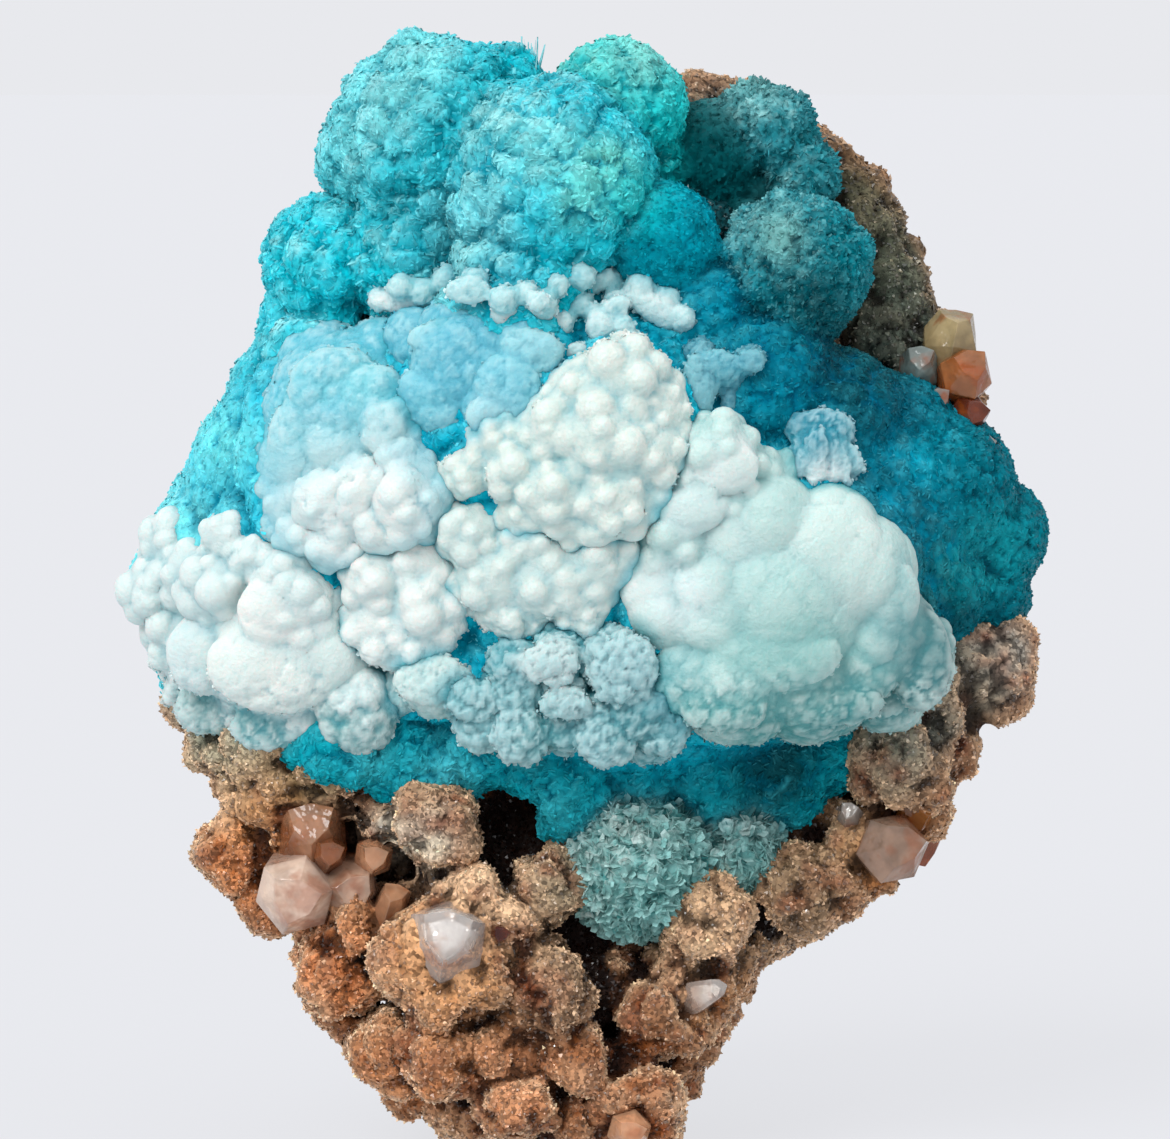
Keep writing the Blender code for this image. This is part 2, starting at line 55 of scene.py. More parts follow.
# Rounded cores of the rock: x, y, z, then half sizes along x, y and z
ROCK_CORES = (
    (0, 5, 70, 42, 18, 38),
    (1, 5, 99, 30, 15, 24),
    (29, 4, 66, 20, 14, 28),
    (-30, 4, 60, 17, 13, 24),
    (-7, 5, 37, 28, 15, 26),
    (17, 4, 41, 19, 13, 19),
    (-5, 4, 22, 20, 14.5, 18),
    (-1.2, 1.5, 5, 12.2, 16, 11),
)

# Sugar-coated knobs of the rock: x, y, z and radius
ROCK_KNOBS = (
    (-40.6, -3, 44.6, 4.8),
    (-41.6, -3, 36.8, 5.2),
    (-37.4, -3, 32.0, 4.6),
    (-36.0, -7, 43.5, 4.8),
    (-34.5, -6, 36.0, 5.4),
    (-29.6, -9, 22.8, 5.4),
    (-27.5, -10, 29.5, 5.2),
    (-29.8, -3, 18.6, 3.9),
    (-24.4, -4, 13.0, 4.1),
    (-22.6, -10, 13.4, 4.8),
    (-21.2, -6, 9.6, 3.8),
    (-16.2, -13, 26.2, 9.4),
    (-19.0, -14, 40.0, 5.0),
    (-24.6, -12, 40.4, 3.6),
    (-17.0, -14, 13.2, 5.0),
    (-14.4, -9, 6.6, 4.2),
    (-8.6, -14, 7.4, 4.6),
    (-11.0, -14, 14.4, 4.0),
    (-4.8, -13, 33.8, 4.8),
    (-5.4, -15, 21.2, 5.8),
    (-1.4, -14, 13.6, 4.2),
    (1.6, -9, 21.0, 4.4),
    (5.6, -13, 7.2, 5.2),
    (7.6, -11, 17.6, 5.0),
    (11.4, -10, 20.6, 5.0),
    (13.4, -12, 29.0, 5.6),
    (17.2, -6, 24.0, 4.2),
    (17.6, -3, 20.6, 2.8),
    (8.8, -3, 10.6, 4.4),
    (11.4, -3, 14.6, 4.2),
    (24.6, -8, 32.8, 5.0),
    (29.4, -7, 33.4, 4.4),
    (33.2, -6, 36.8, 5.4),
    (37.2, -7, 47.4, 6.2),
    (38.6, -3, 41.0, 4.6),
    (42.0, -3, 49.2, 5.2),
    (46.6, -2, 57.6, 6.2),
    (40.4, -5, 55.0, 5.8),
    (-47.4, 0, 53.6, 3.2),
    (-43.6, -3, 50.4, 4.6),
    (-38.5, -7, 49.5, 4.8),
    (-30.6, -9, 45.4, 5.2),
)

# The rock's thin stained rim that shows round the right shoulder
ROCK_RIM = (
    (12.5, 7, 122.2, 5.8),
    (19.5, 8, 121.2, 6.0),
    (26.2, 6, 116.6, 6.0),
    (31.6, 5, 111.0, 6.0),
    (33.6, 5, 105.0, 6.0),
    (35.0, 4, 98.6, 6.2),
    (39.6, 3, 95.0, 5.4),
    (41.6, 3, 89.6, 4.8),
)

# Rounded ledges of the back: x, y, z, half sizes, and a turn about Y in degrees
BACK_LEDGES = (
    (-14, 14, 98, 14, 8, 9, 18),
    (10, 15, 88, 16, 9, 10, -24),
    (-20, 15, 70, 15, 9, 9, 30),
    (-26, 10, 46, 13, 9, 8, 24),
    (30, 10, 78, 12, 9, 10, -8),
    (4, 12, 27, 13, 7, 8, -10),
)

# Blocks left standing where the back broke: x, y, z, half sizes, and turns about X, Y and Z
BACK_BLOCKS = (
    (-12, 16.5, 82, 13, 6.0, 9, 12, 15, -10),
    (13, 17.0, 69, 14, 5.5, 11, -14, -20, 10),
    (-18, 14.0, 57, 12, 6.0, 9, 10, 28, 16),
    (14, 12.0, 48, 13, 6.5, 9, -12, 10, -16),
    (12, 12.5, 103, 12, 6.0, 9, 16, -14, 18),
    (-6, 14.0, 37, 11, 5.5, 8, 14, -12, 8),
)
BACK_KNOBS = 34
BACK_KNOB_RADII = (2.4, 4.6)
BACK_KNOB_X = (-34, 34)
BACK_KNOB_Z = (12, 114)
BACK_SEED = 11

# Lumps that roughen the big balls: how many on each, and their radius as a share of the ball's
BALL_LUMPS = 22
LUMP_SHARE = (0.20, 0.30)
LUMP_SEED = 5

# Turquoise balls, flank and wing: x, y, z, radius
TOP_BALLS = (
    (-18.4, -4, 121.4, 11.4),
    (-10.8, -3, 127.8, 4.6),
    (-27.4, -4, 119.4, 4.6),
    (-4.9, -10, 116.2, 11.8),
    (3.2, -4, 125.2, 7.4),
    (4.8, -2, 118.6, 6.2),
    (-31.2, -3, 107.0, 7.0),
    (-20.0, -4, 108.5, 9.2),
    (-8.0, -12, 105.0, 8.2),
    (8.2, -11, 109.6, 6.6),
)
LEFT_FLANK = (
    (-34.6, -1, 100.6, 4.6),
    (-33.0, -1, 97.0, 6.6),
    (-37.2, 0, 91.0, 6.0),
    (-40.6, 0, 84.5, 6.2),
    (-44.4, 0, 77.0, 6.2),
    (-47.4, 0, 69.5, 5.4),
    (-45.6, 0, 61.0, 5.6),
)
BLUE_GROUND = (
    (0, -5, 84, 31, 17, 24),
    (-27, -2, 76, 22, 14.5, 22),
    (2, -5, 62, 30, 15.5, 19),
    (22, -4, 74, 24, 14.5, 24),
)
BLUE_HUMPS = (
    (19.8, -10, 92.6, 9.6),
    (28.6, -8, 88.2, 8.8),
    (14.0, -10, 101.0, 6.6),
    (25.0, -12, 79.6, 6.5),
)
SUGAR_BALLS = (
    (24.2, -9, 106.4, 8.6),
    (21.8, -1, 122.4, 5.0),
    (25.0, -1, 117.0, 4.6),
    (19.2, 0, 125.0, 3.4),
    (15.6, 4, 112.0, 8.0),
)
RIGHT_WING = (
    (36.2, -4, 86.0, 7.6),
    (41.0, -2, 79.8, 9.8),
    (41.4, 2, 84.6, 4.6),
    (48.2, 1, 74.2, 6.7),
    (46.6, 1, 67.4, 6.4),
    (40.0, -3, 68.0, 7.8),
    (36.6, -3, 58.0, 6.8),
)
LOWER_LOBES = (
    (-20.4, -8, 47.6, 7.2),
    (-28.6, -8, 50.0, 6.4),
    (-13.2, -9, 51.0, 7.2),
    (-3.6, -10, 45.6, 7.4),
    (6.0, -8, 46.6, 7.0),
    (14.0, -7, 46.0, 7.0),
    (21.6, -4, 46.4, 8.0),
    (28.4, -3, 50.4, 7.2),
    (5.6, -10, 36.0, 8.8),
    (17.4, -8, 37.6, 5.4),
)

# Pale masses: x, how far forward of the ground the centre stands, z, radius
TOP_CHAIN = (
    (-24.6, 0.8, 102.8, 2.2),
    (-22.2, 1.0, 104.4, 2.3),
    (-19.6, 0.8, 103.8, 2.5),
    (-16.6, 0.8, 105.2, 2.6),
    (-13.4, 0.8, 105.0, 2.6),
    (-10.0, 1.0, 103.2, 2.4),
    (-7.4, 0.8, 104.0, 2.0),
    (-5.4, 1.0, 102.6, 2.3),
    (-3.4, 0.9, 100.4, 2.2),
    (-3.8, 0.6, 104.8, 2.0),
    (-1.0, 0.8, 105.8, 2.3),
    (2.2, 0.9, 105.0, 2.5),
    (5.8, 0.9, 104.4, 2.6),
    (8.8, 0.9, 102.8, 2.5),
    (10.8, 0.9, 100.8, 2.2),
    (0.8, 0.8, 101.0, 2.0),
    (3.8, 0.8, 99.8, 2.0),
    (-1.2, 0.4, 102.4, 2.4),
    (3.0, 0.4, 102.4, 2.4),
)
UPPER_LEFT_DOME = (
    (-28.4, -5.0, 88.0, 10.8),
    (-32.8, -3.4, 84.0, 7.2),
    (-31.6, -2.0, 94.8, 5.4),
    (-24.0, -2.6, 95.0, 5.4),
    (-34.8, -1.0, 78.8, 4.0),
    (-23.6, 2.4, 88.6, 3.6),
    (-22.0, 2.2, 83.4, 3.6),
    (-26.8, 3.4, 81.4, 3.4),
    (-21.2, 3.2, 79.6, 4.4),
    (-24.8, 2.6, 76.8, 3.2),
    (-31.2, 3.4, 79.6, 3.2),
    (-29.8, 2.0, 74.6, 3.0),
    (-33.8, 1.6, 75.6, 2.6),
    (-28.4, 1.0, 77.8, 4.2),
)
UPPER_CENTRE_DOME = (
    (-13.8, -3.2, 96.0, 7.6),
    (-17.4, -1.4, 90.8, 5.0),
    (-10.0, -1.4, 90.6, 5.2),
    (-7.8, -0.4, 97.0, 4.4),
    (-20.0, -1.0, 97.4, 4.4),
)
WHITE_MASS_CENTRE = (
    (3.6, 1.6, 93.6, 5.0),
    (7.2, 0.6, 90.0, 4.4),
    (-1.4, 1.0, 91.6, 4.2),
    (6.4, 1.8, 85.6, 4.4),
    (1.4, 2.2, 87.2, 5.2),
    (-3.8, 1.8, 88.0, 4.0),
    (-8.4, 1.4, 83.4, 3.8),
    (-4.2, 2.0, 81.0, 4.4),
    (2.4, 2.2, 80.2, 4.6),
    (-1.0, 1.6, 78.0, 3.4),
    (-10.4, 0.8, 87.0, 3.4),
    (-13.8, 1.0, 83.2, 3.0),
    (6.6, 1.4, 80.4, 3.2),
    (-7.6, 1.6, 78.6, 3.0),
)
LOW_CENTRE_MASS = (
    (-13.8, 1.4, 76.0, 3.6),
    (-10.8, 1.8, 71.0, 4.7),
    (-15.0, 1.2, 68.8, 3.2),
    (-5.4, 2.0, 70.4, 4.6),
    (0.6, 1.6, 72.2, 3.9),
    (3.8, 1.4, 73.6, 2.8),
    (-7.0, 1.4, 74.8, 3.4),
    (-1.2, 1.2, 67.6, 3.4),
    (-9.0, 0.8, 66.6, 3.4),
)
WHITE_PAIR = (
    (-25.2, 1.8, 70.4, 3.8),
    (-19.8, 2.0, 72.2, 3.7),
    (-24.6, 1.8, 65.2, 4.2),
    (-19.2, 2.4, 67.4, 4.6),
    (-20.2, 1.6, 62.6, 4.0),
)
PALE_SHELF = (
    (-18.0, 1.0, 58.0, 4.4),
    (-22.0, 0.6, 56.8, 3.4),
    (-14.4, 0.6, 56.6, 3.4),
)
LEFT_CLOUD = (
    (-36.4, -2.2, 61.8, 9.8),
    (-31.0, -0.6, 60.4, 7.0),
    (-43.0, -1.4, 61.6, 6.6),
    (-47.2, 0.6, 62.6, 5.2),
    (-50.6, 1.0, 68.2, 4.5),
    (-48.6, 0.6, 73.0, 4.4),
    (-46.2, 1.4, 70.0, 4.2),
    (-42.8, 1.6, 69.0, 4.6),
    (-42.6, 1.2, 75.2, 2.5),
    (-39.8, 1.4, 72.6, 2.6),
    (-36.0, 1.6, 70.6, 3.4),
    (-34.2, 1.2, 67.4, 4.8),
    (-40.8, -0.6, 55.0, 6.0),
    (-46.0, 0.4, 56.6, 4.2),
    (-33.6, 0.4, 53.8, 5.4),
    (-27.0, 1.0, 55.4, 5.2),
)
RIGHT_CLOUD = (
    (22.0, -3.5, 68.0, 12.2),
    (13.4, 0.2, 69.6, 7.6),
    (30.8, -0.4, 71.2, 7.4),
    (33.8, 0.6, 64.0, 6.8),
    (25.4, 0.6, 58.4, 7.6),
    (16.6, 0.2, 58.6, 7.4),
    (20.4, 1.0, 77.2, 6.2),
    (28.0, 0.6, 76.2, 5.6),
    (8.6, 0.6, 66.8, 4.8),
    (38.2, 1.8, 60.8, 4.6),
    (35.0, 2.2, 56.4, 4.8),
    (28.0, 2.0, 56.2, 4.8),
    (18.6, 2.0, 56.0, 4.8),
    (15.0, 2.0, 85.4, 4.3),
    (18.8, 1.6, 83.2, 2.8),
    (22.4, 1.2, 83.6, 2.0),
    (12.2, 1.6, 80.2, 3.8),
    (17.2, 1.6, 80.0, 3.9),
    (10.0, 1.0, 75.0, 4.6),
)
LOW_ROSETTES = (
    (-3.6, 1.4, 62.2, 3.7),
    (-3.0, 1.4, 57.6, 3.2),
    (2.4, 1.2, 61.6, 4.4),
    (-8.4, 1.0, 60.6, 4.2),
    (-13.0, 1.0, 56.2, 4.0),
    (-8.4, 1.0, 54.0, 4.5),
    (1.2, 1.0, 54.2, 4.6),
    (-3.6, 0.6, 53.0, 3.6),
    (6.8, 1.0, 52.0, 3.8),
    (7.2, 1.0, 55.8, 4.8),
)
PALE_FAN = (
    (24.6, 0.4, 88.0, 2.6),
    (28.6, 0.4, 87.6, 2.9),
    (26.0, 0.6, 84.8, 2.8),
    (29.6, 0.6, 83.6, 2.6),
    (27.6, 0.4, 86.2, 3.0),
)
PALE_PATCHES = (
    (12.8, 0.3, 96.6, 2.4),
    (13.6, 0.3, 93.4, 2.4),
    (16.2, 0.3, 94.6, 2.4),
    (18.6, 0.3, 96.0, 2.2),
)

# Quartz: name, root, way it points, width, length, share of the length in the point, turn in degrees
QUARTZ = (
    ("smoky_quartz_pair", (-33.2, -4, 34.4), (-0.14, -1.0, -0.16), 10.4, 12.6, 0.28, 12),
    ("smoky_quartz_pair", (-31.8, -4, 38.2), (-0.10, -1.0, 0.26), 8.6, 12.0, 0.26, 40),
    ("small_smoky_quartz", (-25.8, -5, 36.4), (0.02, -1.0, 0.05), 5.0, 12.0, 0.36, 20),
    ("smoky_quartz_point", (-24.2, -10, 26.6), (0.10, -0.66, 0.75), 5.2, 10.0, 0.50, 5),
    ("clear_quartz_point", (-16.0, -11, 25.8), (-0.10, -1.0, 0.24), 10.2, 15.0, 0.34, 24),
    ("foot_quartz", (4.6, -10, 5.2), (0.0, -1.0, -0.06), 5.4, 9.8, 0.24, 15),
    ("slender_quartz", (9.6, -9, 18.6), (0.55, -0.75, 0.30), 4.4, 11.0, 0.46, 10),
    ("stained_quartz_right", (34.6, -4, 36.8), (0.20, -1.0, 0.12), 8.8, 10.0, 0.28, 8),
    ("edge_quartz_right", (39.2, 2.4, 34.6), (0.34, -0.30, 0.90), 4.8, 11.0, 0.40, 30),
    ("orange_quartz_top", (42.4, 1, 91.0), (0.06, -0.46, 0.88), 9.0, 11.6, 0.26, 18),
    ("white_quartz_wing", (43.6, 0, 85.6), (0.40, -0.66, 0.40), 5.4, 7.4, 0.24, 0),
)

# A crystal's shape, in shares: its blunt root and where it is full, how much lower
# every second shoulder sits, how far off its axis the tip stands, and its worn end face
ROOT_WIDTH = 0.8
FULL_BY = 0.2
SHOULDER_DROP = 0.10
TIP_OFFSET = (0.16, 0.08)
END_FACE = 0.58
END_BACK = 0.3  # how far that end stands back, as a share of the point

# What the minerals are like
QUARTZ_IOR = 1.544
MIRROR_ROUGH = 0.12  # of the crystal faces that flash
IRON_STAIN = "#BC5E20"
VEIL_WIDTH = 0.68  # the milky inside of a crystal, as shares of its width and length
VEIL_LENGTH = 0.86

# Crystals of the groups: as above without the name, then their colours at the root and the tip
PAIR_QUARTZ = (
    ((-33.6, -5.0, 34.0), (-0.18, -1.0, -0.22), 10.0, 11.6, 0.24, 12, "#B07048", "#FFE4D0"),
    ((-32.8, -5.0, 35.4), (-0.06, -0.80, 0.50), 9.4, 11.8, 0.55, 34, "#8C4A24", "#C89470"),
    ((-29.8, -5.0, 34.0), (0.20, -1.0, -0.16), 7.4, 11.0, 0.30, 50, "#985C34", "#E2BEA4"),
    ((-31.8, -5.0, 36.4), (0.10, -1.0, 0.10), 5.0, 12.4, 0.40, 20, "#6E3014", "#A86A44"),
)

# Which kind of quartz each piece is
QUARTZ_KINDS = {
    "smoky_quartz_pair": "smoky",
    "small_smoky_quartz": "smoky",
    "smoky_quartz_point": "smoky",
    "clear_quartz_point": "clear",
    "foot_quartz": "smoky",
    "slender_quartz": "clear",
    "stained_quartz_right": "smoky",
    "edge_quartz_right": "smoky",
    "orange_quartz_top": "stained",
    "white_quartz_wing": "clear",
}

# Quartz colours at the root and towards the tip
QUARTZ_TINTS = {
    "smoky": ("#A05020", "#E8B48C"),
    "clear": ("#CC9468", "#FFF6EE"),
}

# Crystals of the stained quartz on the right shoulder, with their colours at the root and the tip
SHOULDER_QUARTZ = (
    ((42.2, 0.5, 92.0), (0.14, -0.35, 1.0), 7.2, 10.0, 0.35, 10, "#8E7248", "#C2AE82"),
    ((43.6, 0.5, 91.6), (0.22, -0.90, 0.40), 6.8, 8.0, 0.30, 40, "#8A4420", "#C07A48"),
    ((44.0, 0.5, 88.6), (0.26, -1.00, 0.06), 5.0, 7.2, 0.30, 5, "#4A1A0C", "#7E3A22"),
    ((39.4, 1.0, 92.2), (-0.06, -0.80, 0.40), 5.4, 8.5, 0.45, 25, "#5E7470", "#A0AEA8"),
    ((37.8, 1.0, 89.6), (-0.20, -0.90, 0.10), 4.4, 8.6, 0.45, 50, "#5E7470", "#8CA29E"),
    ((40.6, 1.0, 89.2), (0.10, -1.00, 0.20), 4.4, 8.4, 0.45, 35, "#5E7470", "#B4C0BC"),
)
WING_QUARTZ = (
    ((44.4, 0.5, 84.8), (0.26, -0.90, 0.04), 5.4, 7.4, 0.24, 10, "#B0B8B4", "#EEF2F0"),
)
STAINED_QUARTZ = (
    ((34.6, -4.0, 36.8), (0.20, -1.00, 0.12), 8.8, 10.0, 0.28, 8, "#84502C", "#BC9C86"),
    ((37.0, -4.0, 39.4), (0.40, -0.90, 0.44), 4.6, 8.4, 0.35, 30, "#8A4414", "#C88244"),
    ((31.6, -4.0, 39.2), (-0.16, -0.90, 0.40), 3.6, 8.0, 0.40, 15, "#8A7C70", "#D8CEC4"),
)

CLEAR_QUARTZ = (
    ((-16.0, -11.0, 25.8), (-0.10, -1.00, 0.24), 10.2, 15.0, 0.34, 24, "#CC9468", "#FFF8F2"),
    ((-11.6, -11.0, 27.4), (0.10, -1.00, 0.14), 3.2, 11.6, 0.40, 10, "#3A1206", "#6A2410"),
)

# The pieces that are groups, with the crystals of each
CLUSTERS = {
    "clear_quartz_point": CLEAR_QUARTZ,
    "orange_quartz_top": SHOULDER_QUARTZ,
    "white_quartz_wing": WING_QUARTZ,
    "stained_quartz_right": STAINED_QUARTZ,
    "smoky_quartz_pair": PAIR_QUARTZ,
}

# How small balls are set over a larger one, in shares of their sizes
GOLDEN = (1 + math.sqrt(5)) / 2
LUMP_SINK = 0.5
KNOBS_PER_BALL = 18  # for knobs of this share of the ball
KNOB_SHARE = 0.46
KNOB_SIZES = (0.45, 1.2)
KNOB_STRAY = 0.4

# Where skins end and meet, in millimetres
HIDDEN = 2.0  # how deep a skin goes on below what covers it
MEETING = 0.7  # how wide the colours of two growths blend

# The camera, as in the photograph
LENS = 180
SENSOR = 36
CAMERA_AWAY = 702
CAMERA_RISE = 5
CAMERA_AIM = (-0.6, 0, 69.9)
CLIP = (0.05, 100)  # in metres

# The lights: where each comes from, how strong and how wide in degrees
KEY_FROM = (-0.55, -0.75, 0.85)
KEY_LIGHT = 1.45
KEY_WIDTH = 30
OVERHEAD_FROM = (0.1, -0.3, 1.0)
OVERHEAD_LIGHT = 0.7
OVERHEAD_WIDTH = 75
GLINT_FROM = (-0.35, -0.9, 0.55)
GLINT_LIGHT = 0.25
GLINT_WIDTH = 5
AIR_LIGHT = 0.74
FLOOR_GLOW = 0.855
FLOOR_REACH = 20  # in metres

# Colours of the studio, as sRGB
FLOOR_PALE = "#5C5D60"
STUDIO_AIR = "#E8E9ED"


class Growth(NamedTuple):
    """How one part of a skin has grown. Sizes are in millimetres."""

    lobes: tuple
    deep: str  # colour of deeper patches, and of the painted shade down in the creases and clefts
    body: str  # colour of the scales
    frost: str  # colour of the tips and edges, and of the painted highlight on the sides that face the key light
    scale: float  # distance between the scales
    rise: float  # how far they stand out
    blade: tuple  # height, width and thickness of its crystals
    spacing: float  # distance between crystals
    lean: float  # how far they lie over, from 0 for upright


# Lobes at the back of the dark hollow, right of the top balls; their dark colours are painted shade
HOLLOW_BACK = (
    *SUGAR_BALLS[4:5],
    (14.2, 1.5, 118.5, 7.6),
    (13.6, 1.5, 106.5, 6.8),
    (18.6, 2.5, 112.5, 7.4),
)

# How each part of the crust has grown, from the top down
CRUST_GROWTHS = (
    Growth(TOP_BALLS[0:3], "#0090A2", "#00C4D4", "#8EDDE2", 3.4, 0.75, (0.15, 0.85, 0.34), 0.85, 0.35),
    Growth(
        (TOP_BALLS[3], TOP_BALLS[8]), "#00A0B6", "#00C8DA", "#9AE2E4", 3.4, 0.75, (0.15, 0.85, 0.34),
        0.85, 0.35,
    ),
    Growth(TOP_BALLS[4:6], "#009AA2", "#00CACC", "#7CD8CE", 3.2, 0.70, (0.15, 0.80, 0.34), 0.85, 0.35),
    Growth(TOP_BALLS[6:8], "#00A4B8", "#08CEDE", "#92E4E8", 3.2, 0.70, (0.15, 0.85, 0.34), 0.85, 0.35),
    Growth((TOP_BALLS[9],), "#006276", "#0090A4", "#149CAC", 1.8, 0.25, (0.18, 0.5, 0.22), 0.80, 0.5),
    Growth(LEFT_FLANK, "#0AB0C4", "#38D0DE", "#A2ECF0", 2.8, 0.55, (0.14, 0.80, 0.30), 0.90, 0.35),
    Growth(BLUE_GROUND, "#0098B6", "#04B8D2", "#70DCE8", 2.4, 0.35, (0.15, 0.65, 0.25), 0.95, 0.35),
    Growth(BLUE_HUMPS, "#006280", "#008098", "#38A8B8", 2.2, 0.40, (0.14, 0.6, 0.25), 0.85, 0.4),
    Growth((SUGAR_BALLS[0],), "#004A56", "#008A98", "#8CC8C8", 1.6, 0.30, (0.30, 0.45, 0.20), 0.60, 0.45),
    Growth(SUGAR_BALLS[1:4], "#0A6068", "#1C8894", "#90C8C8", 1.6, 0.30, (0.45, 0.5, 0.20), 0.70, 0.5),
    # The hollow back's dark colours are painted shade
    Growth(HOLLOW_BACK, "#00383C", "#004F54", "#0A5C60", 1.6, 0.30, (0.22, 0.5, 0.22), 1.10, 0.5),
    # The right wing's dark colours are partly painted shade on the side away from the light
    Growth(RIGHT_WING, "#004858", "#006C7C", "#2C94A2", 2.0, 0.35, (0.14, 0.55, 0.25), 0.80, 0.4),
    Growth(LOWER_LOBES[0:8], "#00748A", "#00A2B2", "#40B6C2", 2.6, 0.55, (0.18, 0.9, 0.28), 0.85, 0.4),
    Growth(LOWER_LOBES[8:10], "#3A8C8C", "#84BCB8", "#E8F4EE", 2.2, 0.50, (0.72, 1.15, 0.14), 0.74, 0.50),
)
CRUST_GRAIN = 0.50
CRUST_SMOOTHING = 4
BALL_FULLNESS = 1.05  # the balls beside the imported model's, so that their lumps stand out less
CRACK_SHADE = 0.34  # how dark the painted shade in a deep cleft is, as a share of its crease colour
GROUND_FILL = 2.2  # how far the ground rises between the pale masses
# Painted highlight: the crust sides that face the key light are painted paler in their frost colour
KEY_HIGHLIGHT_FROM = (-0.75, -0.35, 0.8)
PAINTED_HIGHLIGHT_SHARE = 0.55  # share of painted highlight, in the frost colour, on the sides that face the key light
SPRAY_ROOT = (-7.2, -4.0, 130.2)
SPRAY_NEEDLES = 14
SPRAY_SIZE = (2.6, 0.28, 0.22)
BLADE_EDGE = 0.6  # how wide the sharp top edge of a blade is beside its foot


class ColourPatch(NamedTuple):
    """A patch of one colour on the front: where it is, how far it reaches and its colour. Some are the
    thing's own tones, others painted highlights and painted shade.
    """

    x: float
    z: float
    reach: float
    tint: str


# Patches of colour at their places on the crust: its own tones, pale painted highlights on the upper left of
# the top balls, and dark painted shade in its creases, down the right wing and under the sugar ball and the
# right cloud
CRUST_PATCHES_AND_PAINTED_LIGHT = (
    # Partly painted highlights where the key light falls on the top balls
    ColourPatch(-26.0, 125.5, 5.5, "#7FE0E4"),
    ColourPatch(-20.0, 131.0, 4.5, "#7ADADC"),
    ColourPatch(-29.5, 118.0, 3.5, "#66DAE2"),
    ColourPatch(-14.8, 110.0, 4.5, "#8CEEF4"),
    ColourPatch(-10.0, 120.0, 4.0, "#5CD8E2"),
    ColourPatch(-5.0, 121.0, 4.0, "#74D6D8"),
    ColourPatch(-1.5, 114.5, 3.0, "#70E4E0"),
    ColourPatch(2.0, 118.8, 3.4, "#6CCFC4"),
    ColourPatch(5.4, 131.0, 4.0, "#84DAD2"),
    ColourPatch(-19.0, 110.0, 4.5, "#00B4C6"),
    # Painted shade in the crease between the top balls
    ColourPatch(-13.0, 119.5, 2.2, "#018C9A"),
    ColourPatch(-12.0, 124.0, 2.6, "#01727C"),
    ColourPatch(-16.5, 107.0, 3.0, "#01606C"),
    ColourPatch(-10.5, 104.8, 4.5, "#00A6BC"),
    ColourPatch(5.2, 115.0, 4.0, "#08C8CC"),
    ColourPatch(-22.0, 112.0, 4.0, "#00AABA"),
    ColourPatch(-13.0, 113.0, 3.5, "#7CE4EE"),
    ColourPatch(22.0, 110.5, 3.0, "#7FC0BC"),
    # Painted shade under the sugar ball
    ColourPatch(26.0, 103.0, 4.5, "#045A64"),
    ColourPatch(19.0, 131.0, 5.0, "#7CBAB8"),
    ColourPatch(-43.5, 86.0, 5.0, "#74E8EA"),
    ColourPatch(-48.5, 75.0, 5.0, "#84ECEE"),
    # Darker down the right wing, partly painted shade on the side away from the light
    ColourPatch(48.0, 73.0, 5.0, "#14A0AC"),
    ColourPatch(43.0, 70.5, 3.5, "#0A8A92"),
    ColourPatch(41.0, 66.0, 6.0, "#024C58"),
    ColourPatch(33.0, 80.5, 5.0, "#0A7C92"),
    ColourPatch(38.5, 76.0, 5.5, "#066072"),
    ColourPatch(36.0, 90.0, 5.0, "#046074"),
    ColourPatch(-17.0, 46.5, 3.5, "#4CBCC8"),
    ColourPatch(-26.0, 49.0, 3.0, "#38B0BC"),
    ColourPatch(-4.0, 43.0, 3.0, "#2CA8B4"),
    # Painted shadow under the right cloud
    ColourPatch(22.0, 46.5, 6.5, "#02424B"),
    ColourPatch(33.0, 56.0, 5.0, "#02424B"),
    # Painted shade in the black gap under the crust
    ColourPatch(-9.6, 41.0, 2.6, "#021311"),
    # Painted shade under the sugar ball, beside the wing
    ColourPatch(34.5, 96.0, 4.0, "#023C42"),
    ColourPatch(29.5, 94.5, 4.0, "#04343C"),
    ColourPatch(33.5, 91.5, 3.0, "#044450"),
)

